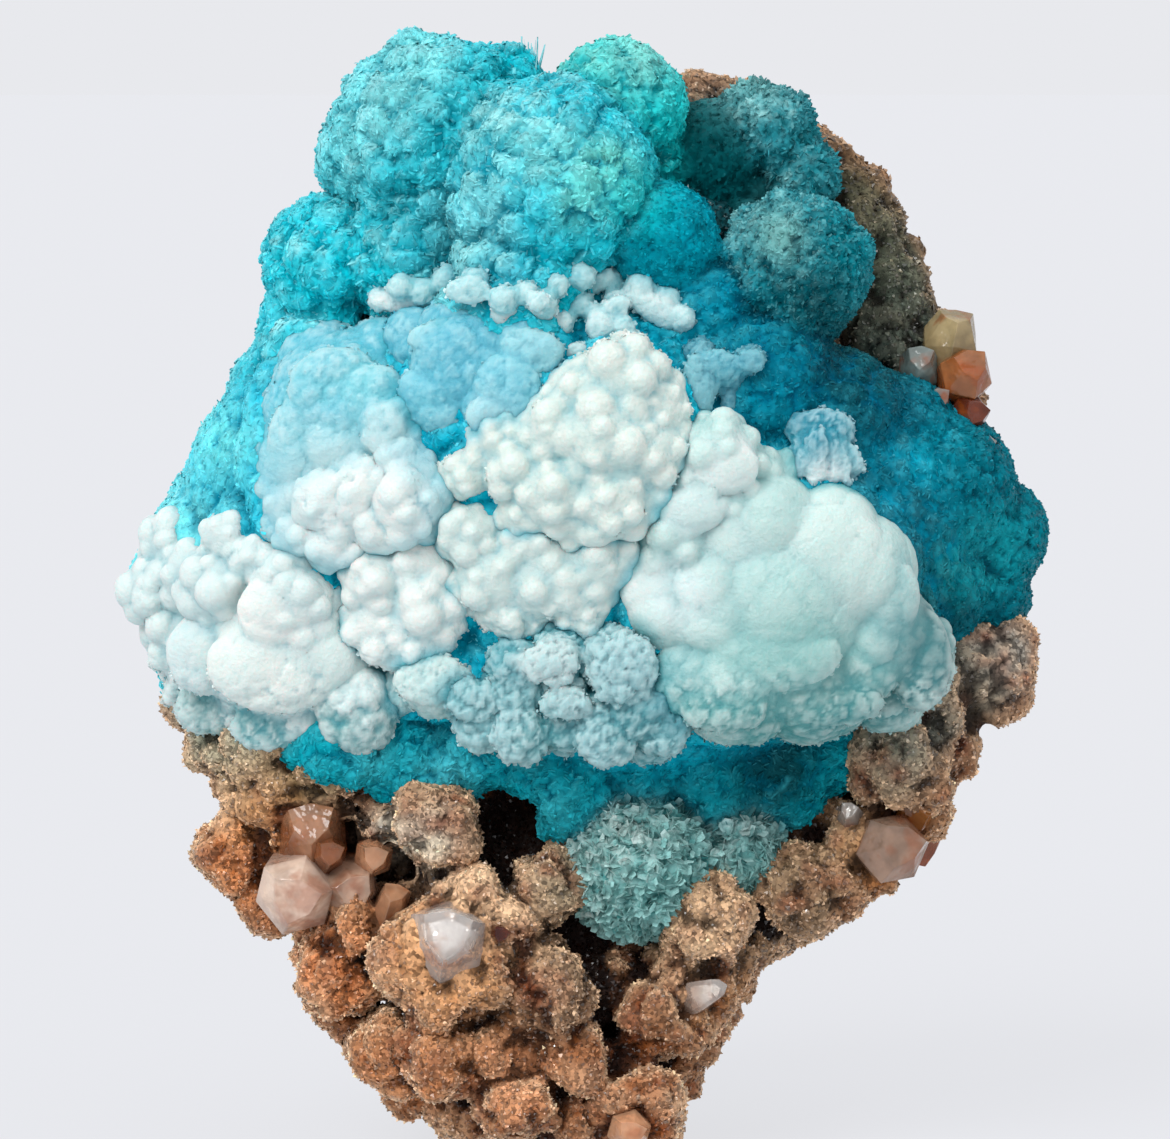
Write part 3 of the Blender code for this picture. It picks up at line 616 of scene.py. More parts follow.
# The rock: its own colours, the painted shade of its crevices, then patches at their places on the front
ROCK_BODY = "#76401A"
ROCK_BACK = "#6E5138"
ROCK_CREVICE_SHADE = "#180A05"
ROCK_FROST = "#E4BE98"
ROCK_RUST = "#74300E"
ROCK_STAINS = (
    ColourPatch(-43.2, 35.5, 6.0, "#C07038"),
    ColourPatch(-31.2, 24.0, 6.5, "#C47440"),
    ColourPatch(-40.8, 43.0, 4.5, "#CB8D54"),
    ColourPatch(-16.4, 26.4, 8.5, "#D89C68"),
    ColourPatch(-11.0, 33.0, 5.0, "#FFD8B0"),
    ColourPatch(-8.4, 11.5, 5.5, "#B46C3C"),
    ColourPatch(-22.0, 12.0, 6.0, "#B46C3A"),
    ColourPatch(1.2, 13.0, 4.5, "#90480C"),
    ColourPatch(6.0, 7.0, 5.0, "#944C1C"),
    ColourPatch(-6.0, 21.0, 5.0, "#442612"),
    ColourPatch(-3.0, 24.0, 5.5, "#2E190C"),
    ColourPatch(6.0, 9.0, 3.0, "#8A4C22"),
    ColourPatch(-5.0, 18.0, 3.5, "#52301A"),
    ColourPatch(-9.0, 11.0, 3.5, "#CC9068"),
    ColourPatch(-43.5, 47.0, 5.0, "#A0A086"),
    ColourPatch(-46.8, 51.5, 5.0, "#A7AB96"),
    ColourPatch(-31.2, 47.5, 5.5, "#5E5436"),
    ColourPatch(-3.6, 34.5, 5.0, "#74705C"),
    ColourPatch(-24.4, 38.8, 3.0, "#DCD4C0"),
    ColourPatch(-19.4, 38.8, 4.0, "#E2DCC6"),
    ColourPatch(13.2, 28.5, 6.0, "#DDB78F"),
    ColourPatch(15.6, 19.0, 4.0, "#8C5420"),
    ColourPatch(25.2, 33.4, 5.0, "#7A6248"),
    ColourPatch(34.8, 47.8, 5.5, "#847C6A"),
    ColourPatch(37.2, 55.0, 5.0, "#66766E"),
    ColourPatch(44.4, 56.2, 5.0, "#8A806C"),
    ColourPatch(49.2, 59.8, 4.0, "#9F978C"),
    ColourPatch(37.2, 37.0, 5.0, "#A5672F"),
    ColourPatch(31.2, 39.4, 4.0, "#B48A62"),
    ColourPatch(24.0, 26.0, 5.0, "#55402E"),
    ColourPatch(28.0, 113.0, 8.0, "#56503A"),
    ColourPatch(15.0, 121.5, 5.0, "#35564E"),
    ColourPatch(39.5, 56.0, 4.0, "#54686A"),
    ColourPatch(46.0, 61.5, 3.5, "#7C8078"),
    ColourPatch(34.0, 106.0, 7.0, "#4A5648"),
    ColourPatch(37.0, 97.0, 6.0, "#58645A"),
)

# The painted shade in the hollow by the top balls, the dull olive rim, and the gap under the crust, pushed in
# and painted black as shade
SHADED_HOLLOW = ColourPatch(14.0, 114.0, 9.5, "#0A464C")
DULL_RIM = ColourPatch(33.0, 106.0, 14.0, "#44503F")
SHADED_GAP = ColourPatch(-9.6, 41.0, 3.0, "#0A0503")
GAP_DEPTH = 5.0
ROCK_GRAIN = 0.62


class Pale(NamedTuple):
    """One pale mass: its name, lobes, colours, and how its skin is made. Sizes are in millimetres."""

    name: str
    lobes: tuple
    core: float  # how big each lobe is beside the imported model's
    # colour of the painted shade in its creases, underneath, round its seat and where it meets the other
    # masses
    deep: str
    body: str
    frost: str
    knob: float  # share of its lobe's radius that a knob on it has
    most: float  # radius of the largest lobe that has knobs on it
    lump: float  # width of the low lumps all over it
    lump_rise: float
    scale: float  # width of its tilted scales
    scale_rise: float
    scaly: tuple  # the heights between which it is scaly


# Heights below and above everything, for masses that are scaly all over
LOW = -100
HIGH = 200
PALE_MASSES = (
    Pale(
        "top_knob_chain", TOP_CHAIN, 0.70, "#3CB4C8", "#98D8E0", "#E4F4F4",
        0.50, 0, 1.8, 0.10, 1.2, 0.15, (LOW, HIGH),
    ),
    Pale(
        "upper_left_dome", UPPER_LEFT_DOME, 1.0, "#22B4CA", "#6CCADE", "#D4ECEE",
        0.42, 4.6, 4.4, 0.60, 1.6, 0.15, (84, HIGH),
    ),
    Pale(
        "upper_centre_dome", UPPER_CENTRE_DOME, 1.0, "#1CA8C6", "#58BED6", "#BCE6EC",
        0.34, 0, 4.0, 0.60, 1.6, 0.18, (LOW, HIGH),
    ),
    Pale(
        "white_mass_centre", WHITE_MASS_CENTRE, 1.03, "#44C0D4", "#D6E8E4", "#EEF5F1",
        0.40, 9, 1.8, 0.12, 1.2, 0.05, (LOW, HIGH),
    ),
    Pale(
        "low_centre_mass", LOW_CENTRE_MASS, 1.03, "#44BCD0", "#D2E6E4", "#ECF4F1",
        0.42, 9, 1.8, 0.12, 1.4, 0.22, (LOW, 69),
    ),
    Pale(
        "white_pair", WHITE_PAIR, 1.03, "#4CC0D2", "#E2EFEE", "#F4F9F7",
        0.42, 9, 1.8, 0.12, 1.4, 0.20, (LOW, 65),
    ),
    Pale(
        "pale_shelf", PALE_SHELF, 0.9, "#2CA4B4", "#B4DCDE", "#E0F0EE",
        0.50, 0, 2.4, 0.25, 1.4, 0.25, (LOW, HIGH),
    ),
    Pale(
        "left_cloud", LEFT_CLOUD, 1.0, "#38ACC0", "#CFE6E8", "#EEF6F4",
        0.42, 5.3, 5.0, 0.55, 1.8, 0.25, (LOW, 60),
    ),
    Pale(
        "right_cloud", RIGHT_CLOUD, 0.98, "#3AA6B0", "#B8DDDC", "#E4F2EF",
        0.40, 4.7, 6.0, 0.45, 1.8, 0.22, (LOW, 62),
    ),
    Pale(
        "low_rosettes", LOW_ROSETTES, 0.85, "#107E90", "#60AEBA", "#CFE6E8",
        0.50, 0, 2.4, 0.25, 1.6, 0.40, (LOW, HIGH),
    ),
    Pale(
        "pale_fan", PALE_FAN, 0.80, "#0C88A2", "#2096AC", "#D8EEF2",
        0.50, 0, 2.0, 0.10, 1.0, 0.15, (LOW, HIGH),
    ),
    Pale(
        "pale_patches", PALE_PATCHES, 0.80, "#107C98", "#3690A6", "#9CD0D8",
        0.50, 0, 2.0, 0.10, 1.0, 0.20, (LOW, HIGH),
    ),
)
PALE_EDGE = (0.28, 0.6, 0.2)  # height, width and thickness of the crystals on the edges


class Shell(NamedTuple):
    """A smooth flake that lies on a pale mass: its middle, half sizes, how far it stands out, and colour."""

    x: float
    z: float
    wide: float
    high: float
    stand: float
    tint: str
    turn: float = 0.0


# Shells of each pale mass, at their places on the front, each with its own colour; the lowest shells of the
# clouds are darker and bluer as painted shade
SHELLS = {
    "top_knob_chain": (
        Shell(-21.1, 102.8, 4.1, 1.7, 1.6, "#E8F4F4"),
        Shell(-15.7, 101.5, 1.6, 1.3, 1.6, "#DCF0F2"),
        Shell(-14.2, 104.2, 2.6, 1.6, 1.2, "#A4DEE6"),
        Shell(-9.6, 101.4, 2.2, 1.5, 1.6, "#EAF5F4"),
        Shell(-6.4, 100.4, 2.4, 1.6, 1.6, "#E4F2F2"),
        Shell(-6.0, 103.0, 1.5, 1.2, 1.2, "#B4E2E8"),
        Shell(-4.6, 98.2, 1.6, 1.8, 1.4, "#CCEAEE"),
        Shell(0.0, 104.4, 3.4, 1.1, 1.2, "#A8DCE2", -38),
        Shell(1.1, 99.8, 1.6, 1.9, 1.5, "#CCEAEE"),
        Shell(8.0, 101.6, 4.2, 1.6, 1.6, "#D2ECEE", 28),
        Shell(5.1, 97.9, 1.9, 1.5, 1.5, "#C6E8EC"),
        Shell(-1.7, 97.0, 1.9, 1.2, 1.4, "#D4EEEE"),
        Shell(3.0, 102.2, 2.0, 1.2, 1.2, "#B4E2E8", -25),
    ),
    "upper_left_dome": (
        Shell(-29.5, 92.5, 5.6, 4.6, 0.4, "#84D6E4"),
        Shell(-33.6, 86.5, 4.0, 5.0, 0.4, "#98DCE8"),
        Shell(-25.5, 91.0, 4.0, 4.4, 0.4, "#84DAE6"),
        Shell(-28.8, 86.0, 4.6, 3.8, 0.4, "#A4E2EC"),
        Shell(-23.7, 88.1, 1.9, 2.9, 0.7, "#B4E2E8", 12),
    ),
    "upper_centre_dome": (
        Shell(-14.5, 95.5, 6.0, 5.8, 0.4, "#62C2DA"),
        Shell(-9.5, 92.4, 3.6, 4.4, 0.4, "#7CCEE0"),
        Shell(-18.4, 91.8, 3.8, 3.4, 0.4, "#7AD2E4"),
        Shell(-6.8, 97.0, 3.4, 2.4, 0.5, "#A8E0E8"),
        Shell(-11.5, 89.8, 2.6, 2.0, 0.5, "#C8EAEE"),
        Shell(-17.8, 98.6, 3.2, 2.0, 0.5, "#9ADEE8"),
    ),
    "pale_shelf": (
        Shell(-18.2, 58.6, 4.6, 2.9, 0.8, "#CCE8E8"),
        Shell(-22.0, 57.4, 2.6, 2.2, 0.6, "#B4DCE0"),
        Shell(-14.4, 57.0, 2.6, 2.4, 0.6, "#A4D4DA"),
    ),
    "left_cloud": (
        Shell(-36.4, 66.6, 5.0, 4.0, 0.5, "#EEF7F5"),
        Shell(-44.6, 61.0, 5.2, 4.8, 0.8, "#CFE8EC"),
        Shell(-37.0, 60.2, 7.6, 5.6, 0.6, "#EAF6F3"),
        Shell(-31.0, 61.6, 3.4, 4.2, 0.8, "#DCF0EE"),
        # Painted shade: darker, bluer shells along the bottom of the cloud
        Shell(-27.4, 54.6, 4.6, 5.0, 0.7, "#66A4A8"),
        Shell(-37.4, 52.6, 4.8, 3.2, 0.7, "#76B4BA"),
        Shell(-45.0, 54.4, 4.0, 3.2, 0.7, "#78B0B4"),
        Shell(-30.6, 50.4, 4.4, 2.4, 0.6, "#5AA8B0"),
    ),
    "right_cloud": (
        Shell(26.6, 72.4, 8.0, 7.4, 0.5, "#D8EEEC"),
        Shell(17.6, 75.2, 5.8, 5.0, 0.5, "#D2ECEC"),
        Shell(8.8, 70.2, 5.6, 5.0, 0.6, "#F2FBFA"),
        Shell(15.2, 66.6, 7.0, 4.4, 0.8, "#BCE0DE"),
        Shell(21.4, 62.2, 7.6, 4.2, 0.8, "#A4D2D0"),
        Shell(34.8, 68.0, 3.4, 5.4, 0.6, "#8ABEC2"),
        Shell(31.6, 60.8, 4.6, 4.8, 0.7, "#88C0C0"),
        Shell(22.8, 57.4, 5.0, 2.6, 0.7, "#74B0B2"),
        Shell(12.0, 59.0, 5.2, 4.4, 0.6, "#88C2C6"),
        # Painted shade: darker, bluer shells on the right and along the bottom of the cloud
        Shell(38.6, 61.0, 3.4, 6.0, 0.6, "#34747C"),
        Shell(15.6, 55.6, 5.0, 2.4, 0.5, "#5CA2A4"),
        Shell(28.0, 56.0, 6.0, 2.4, 0.5, "#4E9094"),
        Shell(34.6, 56.4, 3.4, 2.4, 0.5, "#4E9094"),
        Shell(15.5, 84.0, 3.9, 3.0, 0.4, "#E6F4F4"),
        Shell(11.5, 79.0, 3.6, 2.6, 0.8, "#D6ECEE"),
    ),
    "low_rosettes": (
        Shell(-4.5, 61.1, 3.1, 2.6, 1.4, "#C9E2E4"),
        Shell(-2.9, 56.4, 2.9, 2.0, 1.4, "#B9DCE0"),
        Shell(-12.4, 53.6, 3.4, 3.4, 1.0, "#98CAD0", 30),
        Shell(-8.2, 52.4, 3.2, 3.4, 1.4, "#B4DAE0", -10),
        Shell(-13.6, 56.6, 3.0, 2.4, 1.0, "#84C2CA"),
        Shell(-8.6, 57.4, 3.0, 3.0, 1.0, "#8CC8D0"),
        Shell(1.8, 51.8, 3.6, 2.8, 1.4, "#A4D0D8", 15),
        Shell(3.8, 60.4, 4.0, 4.4, 1.2, "#A9D2D8"),
        Shell(4.6, 54.6, 3.2, 2.8, 1.0, "#74B6BE"),
        Shell(8.6, 53.0, 3.0, 3.0, 1.0, "#7CB8C0", -20),
        Shell(-3.0, 53.2, 2.6, 2.6, 1.0, "#72B4BE"),
        Shell(0.4, 64.8, 2.8, 2.2, 1.0, "#BCDEE2"),
    ),
    "pale_fan": (
        Shell(24.8, 86.2, 1.1, 3.0, 1.0, "#44A8BA", 46),
        Shell(25.4, 85.2, 1.1, 3.4, 1.2, "#5CB4C4", 26),
        Shell(26.4, 84.6, 1.1, 3.8, 1.3, "#88CAD6", 8),
        Shell(27.6, 84.2, 1.1, 4.0, 1.4, "#A4DCE4", -8),
        Shell(28.8, 84.6, 1.1, 3.8, 1.3, "#94D0DA", -24),
        Shell(29.8, 85.4, 1.1, 3.4, 1.2, "#7CC0CC", -42),
        Shell(27.0, 88.4, 3.6, 2.0, 0.8, "#4CB0C0"),
    ),
    "pale_patches": (
        Shell(12.6, 92.8, 1.8, 4.2, 0.8, "#84C6D4", -6),
        Shell(15.4, 95.4, 2.6, 1.8, 0.7, "#58AEC2", 20),
        Shell(16.2, 91.2, 1.1, 2.6, 0.7, "#6AB6C8", 14),
        Shell(18.6, 96.0, 1.8, 1.4, 0.6, "#4CA6BC"),
    ),
}
SHELL_DEPTH = 0.5  # half depth of a shell, as a share of its smaller half size
# Pale masses too flat for the ground to rise round them
FLAT_PALE = ("top_knob_chain", "pale_fan", "pale_patches", "low_rosettes")

# Patches of colour on the pale masses; the blue-grey ones low on the right cloud and on the rosettes are
# painted shade
PALE_TONES_AND_SHADE = {
    "right_cloud": (
        ColourPatch(21.0, 52.0, 5.0, "#4E9A9C"),
        ColourPatch(31.0, 53.5, 5.0, "#428E92"),
        ColourPatch(39.5, 62.0, 4.5, "#4E8E94"),
        ColourPatch(24.0, 63.0, 6.0, "#9CCFCD"),
        ColourPatch(10.0, 69.0, 4.5, "#DDF2F4"),
    ),
    "low_rosettes": (
        ColourPatch(-6.0, 52.0, 4.0, "#5CA4AC"),
        ColourPatch(5.0, 52.5, 4.0, "#529EA8"),
    ),
    "pale_fan": (
        ColourPatch(26.6, 88.6, 4.2, "#1E96AE"),
        ColourPatch(27.4, 82.0, 2.6, "#E6F4F5"),
    ),
    "upper_left_dome": (
        ColourPatch(-24.5, 79.0, 7.0, "#EEF6F4"),
        ColourPatch(-31.5, 78.0, 5.0, "#DCEEF0"),
    ),
}
PALE_TONE = (0.96, 0.92, 0.89)  # what iron in the water took from the white
RIBBED = ("low_rosettes", "pale_fan", "pale_shelf")
RIBS = 19  # in a full turn
RIB_RISE = 0.11
PALE_GRAIN = 0.36
PALE_SMOOTHING = 1


def linear(code):
    """The linear colour of an sRGB hex value."""
    channels = [int(code[at:at + 2], 16) / 255 for at in (1, 3, 5)]
    return [c / 12.92 if c <= 0.04045 else ((c + 0.055) / 1.055) ** 2.4 for c in channels]


def blended(first, second, share):
    """One set of colours or directions mixed into another by a share for each point."""
    share = np.clip(np.atleast_1d(share), 0.0, 1.0)[:, None]
    return np.asarray(first) * (1 - share) + np.asarray(second) * share


def paint(code):
    """An sRGB hex value as a shader takes it."""
    return (*linear(code), 1.0)


def unit(vectors):
    return vectors / np.maximum(np.linalg.norm(vectors, axis=-1, keepdims=True), 1e-9)


# Patterns that are the same on every run


def hashed(cells, seed):
    """Three numbers from 0 to 1 for each whole-number cell."""
    odd = np.uint64(0x9E3779B97F4A7C15)
    mixed = np.full(len(cells), seed + 1, np.uint64)
    for axis in range(3):
        mixed = (mixed ^ cells[:, axis].astype(np.int64).view(np.uint64)) * odd
        mixed ^= mixed >> np.uint64(31)
    numbers = []
    for _ in range(3):
        mixed = mixed * odd + np.uint64(1)
        mixed ^= mixed >> np.uint64(29)
        numbers.append((mixed >> np.uint64(11)).astype(float) / 2.0**53)
    return np.stack(numbers, axis=1)


def nearest_centres(points, size, seed):
    """Offset from the nearest of scattered centres, in sizes, and three chance numbers of that centre."""
    scaled = points / size
    home = np.floor(scaled).astype(np.int64)
    least = np.full(len(points), np.inf)
    offset = np.zeros_like(scaled)
    owner = np.zeros_like(home)
    for step in itertools.product((-1, 0, 1), repeat=3):
        cube = home + step
        gap = scaled - cube - hashed(cube, seed)
        distance = (gap * gap).sum(axis=1)
        nearer = distance < least
        least[nearer] = distance[nearer]
        offset[nearer] = gap[nearer]
        owner[nearer] = cube[nearer]
    return offset, hashed(owner, seed + 7)


def soft_noise(points, size, seed):
    """Smooth blotches from 0 to 1, about one size across."""
    scaled = points / size
    home = np.floor(scaled).astype(np.int64)
    part = scaled - home
    part = part * part * (3 - 2 * part)
    total = np.zeros(len(points))
    for step in itertools.product((0, 1), repeat=3):
        share = np.prod(np.where(np.array(step) == 1, part, 1 - part), axis=1)
        total += share * hashed(home + step, seed)[:, 0]
    return total


def scales(points, size, seed, lean=0.7):
    """Height from about -0.5 to 1 of domed scales that lean over each other, and a chance number for each."""
    offset, chance = nearest_centres(points, size, seed)
    dome = 1 - 1.6 * (offset * offset).sum(axis=1)
    tilt = (offset * unit(chance - 0.5)).sum(axis=1)
    return np.clip(0.75 * dome + lean * tilt, -0.5, 1.2), chance[:, 1]


# Lobes and skins


def fullest(lobe):
    """A lobe as centre, half sizes and turn, whether it was given as a ball or as an ellipsoid."""
    centre = lobe[:3]
    sizes = lobe[3:6] if len(lobe) > 4 else (lobe[3],) * 3
    turn = lobe[6] if len(lobe) > 6 else 0.0
    return centre, sizes, turn


def front_of(lobes, x, z):
    """Y of the foremost skin of a set of lobes at x and z, or None where none of them is."""
    found = []
    for lobe in lobes:
        (cx, cy, cz), (rx, ry, rz), _ = fullest(lobe)
        left = 1.0 - ((x - cx) / rx) ** 2 - ((z - cz) / rz) ** 2
        if left > 0.0:
            found.append(cy - ry * math.sqrt(left))
    return min(found, default=None)


def seated(lobes, ground):
    """Lobes whose centres stand the given distance in front of the ground behind them."""
    placed = []
    for x, forward, z, *sizes in lobes:
        skin = front_of(ground, x, z)
        placed.append((x, (0.0 if skin is None else skin) - forward, z, *sizes))
    return placed


def laid(shells, under):
    """Shells as lobes that lie on the skin of the lobes under them."""
    placed = []
    for shell in shells:
        depth = SHELL_DEPTH * min(shell.wide, shell.high)
        skin = front_of(under, shell.x, shell.z)
        middle = (0.0 if skin is None else skin) - shell.stand + depth
        placed.append((shell.x, middle, shell.z, shell.wide, depth, shell.high, shell.turn))
    return placed


def ball_on(ball, height, angle, sink, size):
    """A small ball on a larger one, at a height from -1 to 1 and an angle. Sink is how deep it sits."""
    x, y, z, radius = ball
    across = math.sqrt(1 - height * height)
    reach = radius - sink * size
    return (
        x + reach * across * math.cos(angle),
        y + reach * across * math.sin(angle),
        z + reach * height,
        size,
    )


def lumpy(balls):
    """The balls with smaller lumps set evenly round each one, each set turned by chance."""
    chance = random.Random(LUMP_SEED)
    lumps = []
    for ball in balls:
        spin = chance.uniform(0, math.tau)
        for step in range(BALL_LUMPS):
            height = 1 - 2 * (step + 0.5) / BALL_LUMPS
            angle = spin + step * math.tau / GOLDEN
            size = ball[3] * chance.uniform(*LUMP_SHARE)
            lumps.append(ball_on(ball, height, angle, LUMP_SINK, size))
    return [*balls, *lumps]


def knobbly(balls, share, sink, seed, most=math.inf):
    """The balls with knobs of unlike sizes all over each one but the largest. Sink is how deep they sit."""
    chance = random.Random(seed)
    knobs = []
    for ball in balls:
        radius = ball[3]
        if radius > most:
            continue
        count = round(KNOBS_PER_BALL * (KNOB_SHARE / share) ** 1.5)
        spin = chance.uniform(0, math.tau)
        for step in range(count):
            height = 1 - 2 * (step + 0.5) / count
            angle = spin + step * math.tau / GOLDEN + chance.uniform(-KNOB_STRAY, KNOB_STRAY)
            size = share * radius * chance.uniform(*KNOB_SIZES)
            knobs.append(ball_on(ball, height, angle, sink, size))
    return [*balls, *knobs]


def back_knobs():
    """Small lumps scattered over the broken back, always in the same places."""
    chance = random.Random(BACK_SEED)
    mirrored = [(x, -y, z, *sizes) for x, y, z, *sizes in ROCK_CORES]
    found = []
    while len(found) < BACK_KNOBS:
        x = chance.uniform(*BACK_KNOB_X)
        z = chance.uniform(*BACK_KNOB_Z)
        skin = front_of(mirrored, x, z)
        if skin is not None:
            found.append((x, -skin, z, chance.uniform(*BACK_KNOB_RADII)))
    return found


def depth_in(points, lobes):
    """How deep each point lies in a set of lobes. It is negative outside them."""
    deepest = np.full(len(points), -np.inf)
    for lobe in lobes:
        centre, sizes, turn = fullest(lobe)
        spin = np.array(Matrix.Rotation(math.radians(turn), 3, "Y"))
        inside = (points - np.array(centre)) @ spin / np.array(sizes)
        depth = (1 - np.linalg.norm(inside, axis=1)) * min(sizes)
        deepest = np.maximum(deepest, depth)
    return deepest


@functools.cache
def unit_ball(steps):
    """Points and triangles of a round ball of radius 1."""
    bm = bmesh.new()
    bmesh.ops.create_icosphere(bm, subdivisions=steps, radius=1.0)
    points = np.array([tuple(point.co) for point in bm.verts])
    faces = np.array([[point.index for point in face.verts] for face in bm.faces])
    bm.free()
    return points, faces


def block_parts(block):
    """Points and triangles of a tilted block."""
    bm = bmesh.new()
    spin = Euler([math.radians(turn) for turn in block[6:]]).to_matrix().to_4x4()
    place = Matrix.Translation(block[:3]) @ spin @ Matrix.Diagonal((*(2 * half for half in block[3:6]), 1.0))
    bmesh.ops.create_cube(bm, size=1.0, matrix=place)
    bmesh.ops.triangulate(bm, faces=bm.faces)
    points = np.array([tuple(point.co) for point in bm.verts])
    faces = np.array([[point.index for point in face.verts] for face in bm.faces])
    bm.free()
    return points, faces


def lobe_parts(lobe):
    """Points and triangles of one lobe."""
    centre, sizes, turn = fullest(lobe)
    steps = 3 if max(sizes) < 2.5 else 4 if max(sizes) < 12 else 5
    points, faces = unit_ball(steps)
    spin = np.array(Matrix.Rotation(math.radians(turn), 3, "Y"))
    return (points * sizes) @ spin.T + centre, faces


def in_scene(name, data):
    """An object made from its data and put in the scene."""
    made = bpy.data.objects.new(name, data)
    bpy.context.scene.collection.objects.link(made)
    return made


def mesh_of(name, points, faces):
    """A Blender mesh from points in millimetres and triangles."""
    mesh = bpy.data.meshes.new(name)
    mesh.vertices.add(len(points))
    mesh.vertices.foreach_set("co", (np.asarray(points) * MM).ravel())
    mesh.loops.add(3 * len(faces))
    mesh.loops.foreach_set("vertex_index", np.asarray(faces, np.int32).ravel())
    mesh.polygons.add(len(faces))
    mesh.polygons.foreach_set("loop_start", np.arange(0, 3 * len(faces), 3, dtype=np.int32))
    mesh.update(calc_edges=True)
    return mesh


class Skin:
    """A skin of triangles, with its points in millimetres."""

    def __init__(self, points, faces):
        self.points = points
        self.faces = faces

    def normals(self):
        """The outward direction at each point."""
        a, b, c = (self.points[corner] for corner in self.faces.T)
        across = np.cross(b - a, c - a)
        summed = [
            np.bincount(self.faces.ravel(), np.repeat(part, 3), len(self.points)) for part in across.T
        ]
        return unit(np.stack(summed, axis=1))

    def averaged(self, values, rounds):
        """Values smoothed over neighbouring points, so many times over."""
        count = len(self.points)
        corners = self.faces.T.ravel()
        after = np.roll(self.faces, -1, axis=1).T.ravel()
        before = np.roll(self.faces, 1, axis=1).T.ravel()
        share = np.maximum(2 * np.bincount(corners, minlength=count), 1)
        columns = np.array(values, float).reshape(count, -1)
        for _ in range(rounds):
            columns = np.stack([
                np.bincount(corners, part[after] + part[before], count) / share for part in columns.T
            ], axis=1)
        return columns.reshape(np.shape(values))

    def hollow(self, rounds):
        """How far each point lies down in a hollow, in millimetres. It is negative on a bump."""
        away = self.averaged(self.points, rounds) - self.points
        return (away * self.normals()).sum(axis=1)

    def push(self, distance):
        self.points = self.points + self.normals() * distance[:, None]

    def soften(self, rounds):
        self.points = self.averaged(self.points, rounds)

    def keep(self, wanted):
        """Drops the triangles that have no wanted corner, and the points that no triangle has then."""
        self.faces = self.faces[wanted[self.faces].any(axis=1)]
        used = np.unique(self.faces)
        place = np.zeros(len(self.points), np.int64)
        place[used] = np.arange(len(used))
        self.points = self.points[used]
        self.faces = place[self.faces]


def fused(lobes, grain, blocks=()):
    """One closed skin round all the lobes and blocks."""
    parts = [lobe_parts(lobe) for lobe in lobes] + [block_parts(block) for block in blocks]
    starts = np.cumsum([0] + [len(points) for points, _ in parts])
    faces = np.concatenate([faces + start for (_, faces), start in zip(parts, starts)])
    mesh = mesh_of("lobes", np.concatenate([points for points, _ in parts]), faces)
    shape = in_scene("lobes", mesh)
    fuse = shape.modifiers.new("fuse", "REMESH")
    fuse.mode = "VOXEL"
    fuse.voxel_size = grain * MM
    whole = shape.evaluated_get(bpy.context.evaluated_depsgraph_get()).to_mesh()
    whole.calc_loop_triangles()
    points = np.empty(3 * len(whole.vertices))
    whole.vertices.foreach_get("co", points)
    triangles = np.empty(3 * len(whole.loop_triangles), np.int32)
    whole.loop_triangles.foreach_get("vertices", triangles)
    bpy.data.objects.remove(shape)
    return Skin(points.reshape(-1, 3) / MM, triangles.reshape(-1, 3))


def piece_of(name, points, faces, tints, material, smooth=True):
    """A finished piece that rides on the specimen, with a colour for each point."""
    mesh = mesh_of(name, points, faces)
    colours = np.concatenate((tints, np.ones((len(tints), 1))), axis=1)
    mesh.attributes.new("tint", "FLOAT_COLOR", "POINT").data.foreach_set("color", colours.ravel())
    mesh.polygons.foreach_set("use_smooth", np.full(len(faces), smooth))
    mesh.materials.append(material)
    piece = in_scene(name, mesh)
    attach(piece, "root")
    return piece


# Small crystals


def spread_out(points, wanted, spacing, seed):
    """Which of the wanted points to use so that they are about the spacing apart."""
    chosen = np.flatnonzero(wanted)
    np.random.default_rng(seed).shuffle(chosen)
    cells = np.floor(points[chosen] / spacing).astype(np.int64)
    _, first = np.unique(cells, axis=0, return_index=True)
    return chosen[first]


class Blades(NamedTuple):
    """Small crystals with a sharp top edge: where they stand, their sizes and their colours."""

    points: np.ndarray
    faces: np.ndarray
    tints: np.ndarray


# A blade's corners: four round its foot and two along its sharp top edge
BLADE_FACES = np.array(((0, 1, 5), (0, 5, 4), (2, 3, 4), (2, 4, 5), (1, 2, 5), (3, 0, 4)))
SUNK = 0.35  # share of its height that a blade stands in the skin


def blades(roots, outward, sizes, edge, lean, foot_tints, top_tints, seed, uneven=0.14):
    """A blade on each root. Sizes are heights, widths and thicknesses, edge the share of width on top."""
    chance = np.random.default_rng(seed)
    count = len(roots)
    up = unit(outward + lean * chance.normal(size=(count, 3)))
    side = unit(np.cross(up, chance.normal(size=(count, 3))))
    through = np.cross(up, side)
    height, width, thick = (column[:, None] for column in np.asarray(sizes).T)
    foot = roots - SUNK * height * up
    top = roots + height * up
    right = 0.5 * width * side
    front = 0.5 * thick * through
    corners = np.stack((
        foot + right + front, foot - right + front, foot - right - front, foot + right - front,
        top + edge * right, top - edge * right,
    ), axis=1)
    shade = chance.uniform(1 - uneven, 1 + uneven, (count, 1))
    tints = np.stack([foot_tints * shade] * 4 + [top_tints * shade] * 2, axis=1)
    faces = BLADE_FACES[None] + 6 * np.arange(count)[:, None, None]
    return Blades(corners.reshape(-1, 3), faces.reshape(-1, 3), np.minimum(tints.reshape(-1, 3), 1.0))


def together(sets):
    """Several sets of blades as one."""
    starts = np.cumsum([0] + [len(one.points) for one in sets])
    return Blades(
        np.concatenate([one.points for one in sets]),
        np.concatenate([one.faces + start for one, start in zip(sets, starts)]),
        np.concatenate([one.tints for one in sets]),
    )


def varied(size, count, seed, spread=0.35):
    """Heights, widths and thicknesses round a size, each a little different."""
    chance = np.random.default_rng(seed)
    return np.array(size) * chance.uniform(1 - spread, 1 + spread, (count, 3))


